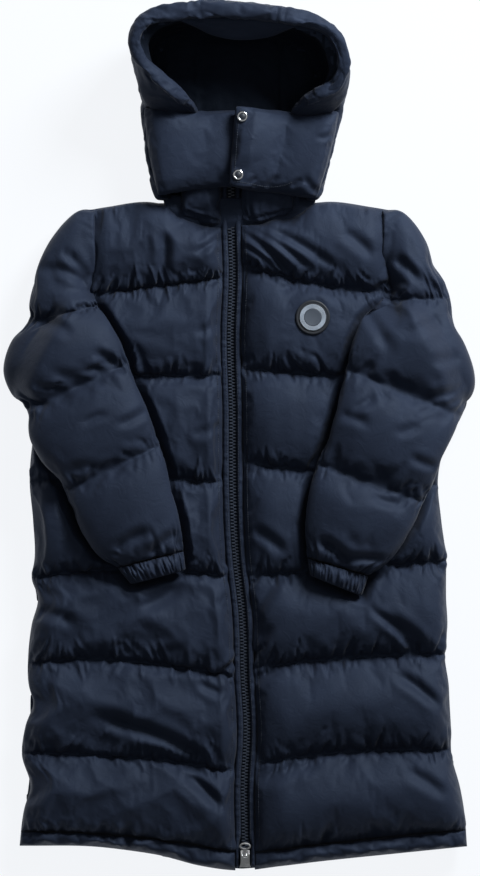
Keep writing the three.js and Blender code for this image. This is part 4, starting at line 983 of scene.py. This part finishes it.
def patch(name, upper_edge, lower_edge, bulge, turn_under):
    rows, cols = 40, 26
    upper = [curve_through(range(len(upper_edge)), column) for column in columns(upper_edge)]
    lower = [curve_through(range(len(lower_edge)), column) for column in columns(lower_edge)]
    places = np.zeros((rows + 2, cols, 3))
    along = np.linspace(0, 1, rows)
    for i, share in enumerate(np.linspace(0, 1, cols)):
        for axis in range(3):
            start = upper[axis](along * (len(upper_edge) - 1))
            end = lower[axis](along * (len(lower_edge) - 1))
            places[1:-1, i, axis] = start + (end - start) * share
        places[1:-1, i, 2] += bulge * math.sin(math.pi * share) ** 0.7
        for j in range(rows):
            ripple = patch_ripple * uneven(j * 0.24, i * 0.2 + len(name))
            places[j + 1, i, 2] += ripple * math.sin(math.pi * share)
    places[0], places[-1] = places[1], places[-2]
    places[0, :, 2] -= turn_under
    places[-1, :, 2] -= turn_under
    places += table_shift
    piece = grid_piece(name, places)
    thick = piece.modifiers.new("padding", "SOLIDIFY")
    thick.thickness = patch_thickness * MM
    thick.offset = -1.0
    apply_modifiers(piece)
    coat_pieces.append(piece)
    return piece


# points along each patch's upper and lower edge: x, y and height
cheek_edges = {
    "left": (
        [(-147, 552, 137), (-122, 524, 128), (-92, 498, 112), (-72, 482, 84), (-60, 468, 56)],
        [(-151, 545, 112), (-147, 522, 104), (-143, 500, 98), (-136, 484, 84), (-118, 468, 60)],
    ),
    "right": (
        [(152, 534, 134), (137, 508, 124), (108, 492, 110), (88, 480, 84), (76, 466, 56)],
        [(156, 528, 110), (154, 508, 104), (150, 494, 98), (142, 482, 84), (122, 466, 58)],
    ),
}
for side, (upper_edge, lower_edge) in cheek_edges.items():
    patch(f"hood_cheek_{side}", upper_edge, lower_edge, bulge=7.0, turn_under=3.0)
patch(
    "hood_inner_fold",
    [(-92, 602, 134), (-60, 606, 136), (-20, 607, 136), (20, 606, 136), (56, 602, 136), (92, 594, 134)],
    [(-60, 590, 116), (-40, 580, 112), (-10, 573, 110), (22, 573, 110), (48, 578, 112), (68, 586, 116)],
    bulge=8.0, turn_under=3.0,
)
patch(
    "neck_gather",
    [(-112, 356, 30), (-70, 352, 34), (-30, 350, 34), (10, 350, 34), (60, 352, 34), (114, 356, 30)],
    [(-104, 318, 34), (-70, 306, 30), (-30, 300, 26), (10, 302, 26), (60, 310, 30), (106, 322, 34)],
    bulge=5.0, turn_under=3.0,
)
print("hood patches made")

# %% [markdown]
# ## Chin guard, collar and back panel
# The guard is a padded flap that buttons across the neck. Its edge stays thin where it was turned
# and stitched, and two hollows hold the snaps. The back panel lies on the floor under everything,
# so it is pinned all over and takes only dents.
# Its quilting shows at the sides, where the seams of the fronts run on round the edge.

# %% Neck pieces and the back
snap_places = {"upper": (5.0, 464.0), "lower": (-1.0, 380.0)}


def neck_pins(spots, normals):
    x, y, _ = table_place(spots)
    near_snap = np.zeros(len(x), bool)
    for snap_x, snap_y in snap_places.values():
        near_snap |= np.hypot(x - snap_x, y - snap_y) < 9
    return (normals[:, 2] < 0.15) | near_snap


def pin_all(spots, normals):
    return np.ones(len(spots), bool)


guard = padded_copy(
    "guard_upper", "chin_guard_upper", 3.0, neck_pins, growth=0.008, dents=0.8, size=45
)
padded_copy("guard_under", "chin_guard_under", 3.2, neck_pins, growth=0.008, dents=0.8, size=45)
for side in ("left", "right"):
    collar = padded_copy(f"collar_{side}", f"collar_roll_{side}", 2.8, neck_pins)
    wrinkle(collar, 2.6, 9, (1.0, 0.3, 0.3), only_up=True)
# start x and y, end x and y, width, depth
guard_creases = [
    (118, 352, 92, 378, 5, 4), (40, 360, 56, 378, 4, 4), (76, 362, 92, 374, 4, 4),
    (14, 366, 26, 376, 3, 3), (140, 440, 112, 432, 4, 3),
]
fold_down(guard, guard_creases, floor=70)


back = padded_copy("back", "back_panel", 5.0, pin_all)
padded_copy("hem_back", "hem_band_back", 3.4, pin_all)


def sink_seams(piece, depth, width):
    spots = read_places(piece.data)
    normals = normals_of(piece)
    x, y, _ = table_place(spots / MM)
    left, right = body_edge["left"](y), body_edge["right"](y)
    share = np.clip((x - left) / (right - left), 0, 1)
    for left_row, right_row in zip(seam_rows["left"][:-1], seam_rows["right"][:-1]):
        line = left_row[0] + (right_row[0] - left_row[0]) * share
        dip = depth * np.exp(-(((y - line) / width) ** 2)) * (normals[:, 2] < 0.4)
        spots -= normals * (dip * MM)[:, None]
    write_places(piece.data, spots)


sink_seams(back, 1.4, 6.0)

# %% [markdown]
# ## Zip
# The zip has moulded teeth on two woven tapes. Each tooth is one small block with eased edges. It
# is made once and copied along the zip's line, with the two rows offset by half a step so that
# they mesh. The two tapes are built as one strip, because the closed teeth cover the slit between
# them. A narrow padded welt on each side hides the tape's stitching.

# %% Tape, teeth and welts
tape_thickness = 2.2
tape_half = 13.0
zip_top = 398.0
zip_foot = -624.0
chain_foot = -597.0
chain_base = layer + tape_thickness + seam_gap
tooth_pitch = 4.7
tooth_size = (5.7, 2.5, 4.6)
tooth_offset = 2.25
# the welt's inner edge from the zip's middle, what it gives way beside the slider, and its height
welt_inner = 5.3
slider_room = 3.5
slider_band = (574, 590)
welt_half_height = 4.6
welt_end = 5


def zip_tape():
    heights = np.linspace(zip_foot, zip_top, 320)
    across = np.linspace(-tape_half, tape_half, 9)
    places = np.zeros((len(heights), len(across), 3))
    for j, y in enumerate(heights):
        places[j, :, 0] = zip_x(y) + across + shift_x
        places[j, :, 1] = y + shift_y
        places[j, :, 2] = layer + tape_thickness - 0.2
    return grid_piece("woven_zip_tape", places)


def zip_teeth():
    shape = bmesh.new()
    bmesh.ops.create_cube(shape, size=1.0)
    bmesh.ops.scale(shape, vec=Vector(tooth_size) * MM, verts=shape.verts)
    edges = list(shape.edges)
    bmesh.ops.bevel(
        shape, geom=edges, offset=0.7 * MM, segments=1, profile=0.5, affect="EDGES", material=-1
    )
    tooth = bpy.data.meshes.new("tooth")
    shape.to_mesh(tooth)
    shape.clear()
    count = int((zip_top - chain_foot - 4) / tooth_pitch)
    for turn in (-1, 1):
        for k in range(count):
            y = chain_foot + 3 + k * tooth_pitch + (turn + 1) * tooth_pitch / 4
            shape.from_mesh(tooth)
            added = shape.verts[-len(tooth.vertices):]
            x = zip_x(y) + turn * tooth_offset + shift_x
            spot = Vector((x, y + shift_y, chain_base + tooth_size[2] / 2))
            bmesh.ops.translate(shape, vec=spot * MM, verts=added)
    piece = finished(shape, "zip_teeth_moulded")
    for face in piece.data.polygons:
        face.use_smooth = False
    return piece, count


def welt(side, turn):
    heights = np.linspace(zip_foot, zip_top, 560)
    angles = np.linspace(0, 2 * np.pi, 17)
    rings = np.zeros((len(heights), len(angles), 3))
    for j, y in enumerate(heights):
        beside_slider = smoothstep(-y, *slider_band)
        near = welt_inner + beside_slider * slider_room
        centre, half = (near + placket_half) / 2, (placket_half - near) / 2
        pucker = 0.9 * uneven(y * 0.16, turn * 5.0) + 0.6 * uneven(y * 0.36, turn * 9.0)
        end = math.sqrt(min(1.0, (min(y - zip_foot, zip_top - y) + 0.6) / welt_end))
        for k, angle in enumerate(angles):
            s = math.sin(angle)
            z = chain_base + welt_half_height * (1 + s * end) + pucker * max(s, 0) * 1.3
            x = zip_x(y) + turn * (centre + 0.3) + half * math.cos(angle) * (1 + 0.05 * pucker) * end
            rings[j, k] = (x + shift_x, y + shift_y, z)
    piece = grid_piece(f"zip_welt_roll_{side}", rings, wrap=True)
    close_ends(piece)
    return piece


tape = zip_tape()
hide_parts("zip_tape")
teeth, tooth_count = zip_teeth()
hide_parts("zip_chain")
welts = []
for side, turn in (("left", -1), ("right", 1)):
    roll_beside_zip = welt(side, turn)
    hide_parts(f"zip_welt_{side}")
    welts.append(roll_beside_zip)
print("teeth on each tape:", tooth_count)

# %% [markdown]
# ## Stitches
# Every quilting seam is a lockstitch that shows as a row of short threads. The welts, the zip's
# edges and the flap of the guard have a row too. Each thread is one small block. The rows on the
# quilted pieces follow the puffed grid, and the others are dropped on the cloth from above.

# %% Rows of thread
stitch_pitch = 3.6
stitch_block = (2.6, 0.7, 0.5)
# rows of thread beside the zip: on the welt and on the front
welt_row = 8.2
placket_row = 20.5
flap_inset = (4, 3)


def rows_on_grid(piece, wanted, keep):
    row, column = grid_numbers(piece)
    spots = read_places(piece.data)
    lines = []
    for number in wanted:
        members = np.flatnonzero((row == number) & keep(column))
        lines.append(spots[members[np.argsort(column[members])]])
    return lines


def dropped_on(piece, plan):
    mesh = piece.data
    tree = BVHTree.FromPolygons(
        [vert.co for vert in mesh.vertices], [list(face.vertices) for face in mesh.polygons]
    )
    line = []
    for x, y in plan:
        above = Vector(((x + shift_x) * MM, (y + shift_y) * MM, 0.5))
        hit = tree.ray_cast(above, Vector((0, 0, -1)))[0]
        if hit:
            line.append(hit)
    return np.array(line)


def sew(name, lines):
    shape = bmesh.new()
    for line in lines:
        if len(line) < 2:
            continue
        walked = np.concatenate([[0], np.cumsum(np.linalg.norm(np.diff(line, axis=0), axis=1))]) / MM
        stops = np.arange(stitch_pitch, walked[-1], stitch_pitch)
        spots = np.stack([np.interp(stops, walked, line[:, axis]) for axis in range(3)], axis=-1)
        ahead = np.stack([np.interp(stops + 1, walked, line[:, axis]) for axis in range(3)], axis=-1)
        for spot, after in zip(spots, ahead):
            run = Vector(after - spot)
            if run.length < 0.1 * MM:
                continue
            place = Matrix.Translation(Vector(spot) + Vector((0, 0, 0.5 * MM)))
            turn = run.to_track_quat("X", "Z").to_matrix().to_4x4()
            size = Matrix.Diagonal((*[side_length * MM for side_length in stitch_block], 1))
            bmesh.ops.create_cube(shape, size=1.0, matrix=place @ turn @ size)
    return finished(shape, name)


def whole_row(column):
    return column >= 0


def upper_side(column):
    return (column > 2) & (column < 46)


seam_threads = []
welt_threads = []
for side, roll_beside_zip in zip(("left", "right"), welts):
    panel = bpy.data.objects[f"quilted_front_{side}"]
    panel_seams = [1 + panel_rows * k for k in range(1, channels + 1)]
    seam_threads += rows_on_grid(panel, panel_seams, whole_row)
    tube = bpy.data.objects[f"quilted_sleeve_{side}"]
    seam_threads += rows_on_grid(tube, [tube_rows * k for k in (1, 2, 3)], upper_side)
    turn = -1 if side == "left" else 1
    heights = np.arange(-612.0, 300.0, 4.0)
    for cloth, beside in ((roll_beside_zip, welt_row), (panel, placket_row)):
        welt_threads.append(dropped_on(cloth, [(zip_x(y) + turn * beside, y) for y in heights]))
flap_edge = [
    (-1, 476), (-3, 466), (-6, 440), (-8, 410), (-10, 380), (-11, 369), (0, 366), (14, 364),
    (30, 361), (46, 360), (60, 362), (72, 366),
]
flap_line = [curve_through(range(len(flap_edge)), column) for column in columns(flap_edge)]
flap_stops = np.linspace(0, len(flap_edge) - 1, 90)
flap_x = flap_line[0](flap_stops) + flap_inset[0]
flap_y = flap_line[1](flap_stops) + flap_inset[1]
welt_threads.append(dropped_on(guard, zip(flap_x, flap_y)))
seam_stitches = sew("quilting_thread", seam_threads)
edge_stitches = sew("edge_thread", welt_threads)
print("stitches:", (len(seam_stitches.data.polygons) + len(edge_stitches.data.polygons)) // 6)

# %% [markdown]
# ## Slider, pull, snaps and badge
# The metal pieces are copies of the frame's exact solids with their edges eased, because a cast
# edge is never knife sharp and the bright line along it is what shows it as metal. The badge and
# the snaps are turned shapes, so each is one profile spun about its axis: the list gives its
# radius and height. Their faces stay plain.

# %% Metal and badge
def eased_copy(node, name, width):
    piece = joined_copy([node], name)
    bevel = piece.modifiers.new("eased edges", "BEVEL")
    bevel.width = width * MM
    bevel.segments = 2
    bevel.limit_method = "ANGLE"
    bevel.angle_limit = math.radians(40)
    apply_modifiers(piece)
    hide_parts(node)
    return piece


def turned(node, name, profile, steps=64):
    low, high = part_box(node)
    shape = bmesh.new()
    points = [shape.verts.new((r * MM, 0.0, z * MM)) for r, z in profile]
    edges = [shape.edges.new(pair) for pair in zip(points, points[1:])]
    bmesh.ops.spin(
        shape, geom=points + edges, cent=(0, 0, 0), axis=(0, 0, 1), angle=2 * math.pi,
        steps=steps, use_merge=True,
    )
    bmesh.ops.remove_doubles(shape, verts=shape.verts, dist=0.000005)
    bmesh.ops.recalc_face_normals(shape, faces=shape.faces)
    middle = Vector(((low[0] + high[0]) / 2, (low[1] + high[1]) / 2, low[2]))
    bmesh.ops.translate(shape, vec=middle, verts=shape.verts)
    piece = finished(shape, name)
    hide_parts(node)
    return piece


slider = eased_copy("zip_slider", "slider_body", 0.5)
pull = eased_copy("zip_pull", "slider_pull_tab", 0.45)
rubber_base = turned(
    "badge_base", "badge_rubber_base",
    [(0, 0), (24.6, 0), (25, 0.5), (25, 1.5), (24.2, 2.3), (22.6, 2.4), (21.4, 2.0), (20.2, 2.0),
     (19.2, 2.3), (0, 2.3)],
)
grooves = [(12.9, 0), (12.9, 1.1)]
for step in range(7):
    radius = 13.2 + step * 0.75
    grooves += [(radius, 1.3), (radius + 0.42, 1.3), (radius + 0.48, 0.95), (radius + 0.7, 0.95)]
grooves += [(18.5, 1.4), (18.9, 1.1), (19, 0), (12.9, 0)]
pale_ring = turned("badge_ring", "badge_pale_ring", grooves, 96)
centre_disc = turned(
    "badge_disc", "badge_centre_disc",
    [(0, 0), (12.4, 0), (12.5, 0.3), (12.3, 0.85), (11.9, 1.0), (11.5, 0.9), (0, 0.9)],
)
snap_profile = [
    (0, 0), (7.2, 0), (7.7, 0.5), (7.7, 1.5), (7.1, 2.4), (6.2, 2.6), (5.4, 2.5), (4.9, 2.0),
    (4.6, 1.5), (4.2, 1.4), (3.9, 1.7), (0, 1.9),
]
snaps = [turned(f"snap_{where}", f"snap_cap_{where}", snap_profile) for where in snap_places]
small_parts = [slider, pull, rubber_base, pale_ring, centre_disc, *snaps]
print("small parts:", [piece.name for piece in small_parts])

# %% [markdown]
# ## Materials
# The shell is a light, tightly woven nylon with a soft sheen. Seen close it has a fine grain and
# small crumples between the puckers, so two shared groups give those heights: one for the grain
# and one for the crumples. The same groups serve the tape, with a coarser grain.

# %% Shared effect groups
def effect_group(name, inputs, outputs):
    group = bpy.data.node_groups.new(name, "ShaderNodeTree")
    for socket, value in inputs.items():
        made = group.interface.new_socket(socket, in_out="INPUT", socket_type="NodeSocketFloat")
        made.default_value = value
    for socket in outputs:
        group.interface.new_socket(socket, in_out="OUTPUT", socket_type="NodeSocketFloat")
    enter = group.nodes.new("NodeGroupInput")
    leave = group.nodes.new("NodeGroupOutput")
    return group, enter, leave


def math_node(tree, operation, first, second):
    node = tree.nodes.new("ShaderNodeMath")
    node.operation = operation
    for socket, value in zip(node.inputs, (first, second)):
        if isinstance(value, (int, float)):
            socket.default_value = value
        else:
            tree.links.new(value, socket)
    return node.outputs["Value"]


def crumple_group():
    group, enter, leave = effect_group("crumples", {"Size": 60.0}, ["Height", "Tone"])
    place = group.nodes.new("ShaderNodeTexCoord").outputs["Object"]
    broad = group.nodes.new("ShaderNodeTexNoise")
    fine = group.nodes.new("ShaderNodeTexNoise")
    for noise_node, share, detail in ((broad, 0.45, 3.0), (fine, 1.6, 4.0)):
        group.links.new(place, noise_node.inputs["Vector"])
        scale = math_node(group, "MULTIPLY", enter.outputs["Size"], share)
        group.links.new(scale, noise_node.inputs["Scale"])
        noise_node.inputs["Detail"].default_value = detail
        noise_node.inputs["Roughness"].default_value = 0.55
        noise_node.inputs["Distortion"].default_value = 0.8
    from_middle = math_node(group, "SUBTRACT", fine.outputs["Fac"], 0.5)
    ridge = math_node(group, "ABSOLUTE", from_middle, 0.0)
    sharp = math_node(group, "MULTIPLY", ridge, 1.2)
    height = math_node(group, "SUBTRACT", broad.outputs["Fac"], sharp)
    group.links.new(height, leave.inputs["Height"])
    group.links.new(broad.outputs["Fac"], leave.inputs["Tone"])
    return group


def weave_group():
    group, enter, leave = effect_group("weave", {"Threads": 2400.0}, ["Height"])
    place = group.nodes.new("ShaderNodeTexCoord").outputs["Object"]
    apart = group.nodes.new("ShaderNodeSeparateXYZ")
    group.links.new(place, apart.inputs["Vector"])
    waves = []
    for axis in ("X", "Y"):
        turns = math_node(group, "MULTIPLY", apart.outputs[axis], enter.outputs["Threads"])
        waves.append(math_node(group, "SINE", turns, 0.0))
    group.links.new(math_node(group, "MULTIPLY", waves[0], waves[1]), leave.inputs["Height"])
    return group


crumples = crumple_group()
weave = weave_group()


def group_node(tree, group, socket, value):
    node = tree.nodes.new("ShaderNodeGroup")
    node.node_tree = group
    node.inputs[socket].default_value = value
    return node


def link_tone(tree, folds, dark, light):
    ramp = tree.nodes.new("ShaderNodeValToRGB")
    ramp.color_ramp.elements[0].color = (*dark, 1)
    ramp.color_ramp.elements[1].color = (*light, 1)
    tree.links.new(folds.outputs["Tone"], ramp.inputs["Fac"])
    tree.links.new(ramp.outputs["Color"], tree.nodes["Principled BSDF"].inputs["Base Color"])
    return ramp.color_ramp.elements


def link_gloss(tree, folds, low, high):
    gloss = tree.nodes.new("ShaderNodeMapRange")
    gloss.inputs["To Min"].default_value = low
    gloss.inputs["To Max"].default_value = high
    tree.links.new(folds.outputs["Height"], gloss.inputs["Value"])
    tree.links.new(gloss.outputs["Result"], tree.nodes["Principled BSDF"].inputs["Roughness"])


def bump(tree, source, distance, strength):
    node = tree.nodes.new("ShaderNodeBump")
    node.inputs["Distance"].default_value = distance * MM
    node.inputs["Strength"].default_value = strength
    tree.links.new(source.outputs["Height"], node.inputs["Height"])
    return node


def cloth_paint(name, dark, light, roughness, crumple_size, crumple_depth, threads, sheen):
    paint = bpy.data.materials.new(name)
    paint.use_nodes = True
    tree = paint.node_tree
    shader = tree.nodes["Principled BSDF"]
    shader.inputs["Sheen Weight"].default_value = sheen
    shader.inputs["Sheen Roughness"].default_value = 0.45
    shader.inputs["Specular IOR Level"].default_value = 0.24
    shader.inputs["Specular Tint"].default_value = (0.62, 0.76, 1.0, 1.0)
    folds = group_node(tree, crumples, "Size", crumple_size)
    grain = group_node(tree, weave, "Threads", threads)
    tones = link_tone(tree, folds, dark, light)
    tones[0].position = 0.3
    tones[1].position = 0.72
    link_gloss(tree, folds, roughness - 0.07, roughness + 0.07)
    soft = bump(tree, folds, crumple_depth, 0.8)
    thread_bump = bump(tree, grain, 0.06, 0.5)
    tree.links.new(soft.outputs["Normal"], thread_bump.inputs["Normal"])
    tree.links.new(thread_bump.outputs["Normal"], shader.inputs["Normal"])
    return paint


def hard_paint(name, colour, roughness, metallic, speck, size):
    paint = bpy.data.materials.new(name)
    paint.use_nodes = True
    tree = paint.node_tree
    shader = tree.nodes["Principled BSDF"]
    shader.inputs["Metallic"].default_value = metallic
    folds = group_node(tree, crumples, "Size", size)
    dark = [part * (1 - speck) for part in colour]
    light = [min(part * (1 + speck), 1) for part in colour]
    link_tone(tree, folds, dark, light)
    link_gloss(tree, folds, roughness * 0.8, roughness * 1.25)
    fine_bump = bump(tree, folds, 0.04, 0.4)
    tree.links.new(fine_bump.outputs["Normal"], shader.inputs["Normal"])
    return paint


shell = cloth_paint(
    "navy nylon", dark=(0.0135, 0.019, 0.036), light=(0.0185, 0.026, 0.048), roughness=0.66,
    crumple_size=34.0, crumple_depth=1.1, threads=5200.0, sheen=0.06,
)
# The hood's inward faces get a much darker copy of the navy cloth: painted shade inside the hood.
hood_inside_painted_shade = cloth_paint(
    "hood inside painted shade", dark=(0.0035, 0.006, 0.012), light=(0.006, 0.009, 0.017), roughness=0.8,
    crumple_size=70.0, crumple_depth=1.0, threads=5200.0, sheen=0.02,
)
tape_paint = cloth_paint(
    "woven tape", dark=(0.009, 0.013, 0.024), light=(0.014, 0.02, 0.034), roughness=0.75,
    crumple_size=160.0, crumple_depth=0.3, threads=3600.0, sheen=0.1,
)
# name, colour, roughness, metallic, share of speckle, its size
hard_rows = [
    ("dark enamel", (0.02, 0.025, 0.035), 0.4, 0.0, 0.2, 300.0),
    ("polyester thread", (0.03, 0.04, 0.062), 0.5, 0.0, 0.12, 500.0),
    ("moulded teeth", (0.034, 0.044, 0.066), 0.34, 0.0, 0.15, 300.0),
    ("polished nickel", (0.78, 0.79, 0.8), 0.2, 1.0, 0.06, 240.0),
    ("black rubber", (0.011, 0.014, 0.02), 0.55, 0.0, 0.2, 400.0),
    ("pale plastic", (0.38, 0.43, 0.5), 0.42, 0.0, 0.08, 300.0),
    ("grey plastic", (0.07, 0.085, 0.11), 0.45, 0.0, 0.1, 300.0),
]
paints = {row[0]: hard_paint(*row) for row in hard_rows}
print("materials:", ", ".join([shell.name, hood_inside_painted_shade.name, tape_paint.name, *paints]))

# %% [markdown]
# ## Last steps
# What lies on the floor is made flat there. A cloth piece with few faces gets one level of
# subdivision, so its facets don't show. Each piece is given to its body: everything rides on the
# coat but the pull tab, which swings on the slider's pin. The snaps' centre has a darker second
# material, and the hood's inward faces have a darker second material as painted shade.

# %% Declare and finish
def subdivide(piece, levels=1):
    smooth = piece.modifiers.new("smooth", "SUBSURF")
    smooth.levels = levels
    smooth.render_levels = levels


def dress(piece, paint, body="coat"):
    piece.data.materials.clear()
    piece.data.materials.append(paint)
    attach(piece, body)


settle = 2.5
few_faces = 30000
enamel_radius = 4.7
hood_middle = (0.0, 470.0, 90.0)


def rest_on_floor(piece):
    spots = read_places(piece.data)
    faces_floor = (normals_of(piece)[:, 2] < -0.8) & (spots[:, 2] < settle * MM)
    spots[:, 2] = np.where(faces_floor, 0.0, np.maximum(spots[:, 2], 0.0))
    write_places(piece.data, spots)


for piece in coat_pieces:
    rest_on_floor(piece)
for piece in coat_pieces + welts:
    dress(piece, shell)
for piece in coat_pieces:
    if len(piece.data.polygons) < few_faces:
        subdivide(piece)
dress(tape, tape_paint)
dress(teeth, paints["moulded teeth"])
dress(seam_stitches, paints["polyester thread"])
dress(edge_stitches, paints["polyester thread"])
dress(slider, paints["polished nickel"])
dress(pull, paints["polished nickel"], "pull")
dress(rubber_base, paints["black rubber"])
dress(pale_ring, paints["pale plastic"])
dress(centre_disc, paints["grey plastic"])
for snap, where in zip(snaps, snap_places):
    dress(snap, paints["polished nickel"])
    snap.data.materials.append(paints["dark enamel"])
    low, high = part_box(f"snap_{where}")
    middle_x, middle_y = (low[0] + high[0]) / 2, (low[1] + high[1]) / 2
    for face in snap.data.polygons:
        away = math.hypot(face.center.x - middle_x, face.center.y - middle_y)
        face.material_index = int(away < enamel_radius * MM)


# Faces turned towards the hood's middle take the darker material, as painted shade.
def paint_shade_inside(piece, centre):
    piece.data.materials.append(hood_inside_painted_shade)
    for face in piece.data.polygons:
        inward = Vector(centre) * MM - face.center
        face.material_index = int(face.normal.dot(inward) > 0 and face.center.z > 2 * MM)


paint_shade_inside(hood, hood_middle)
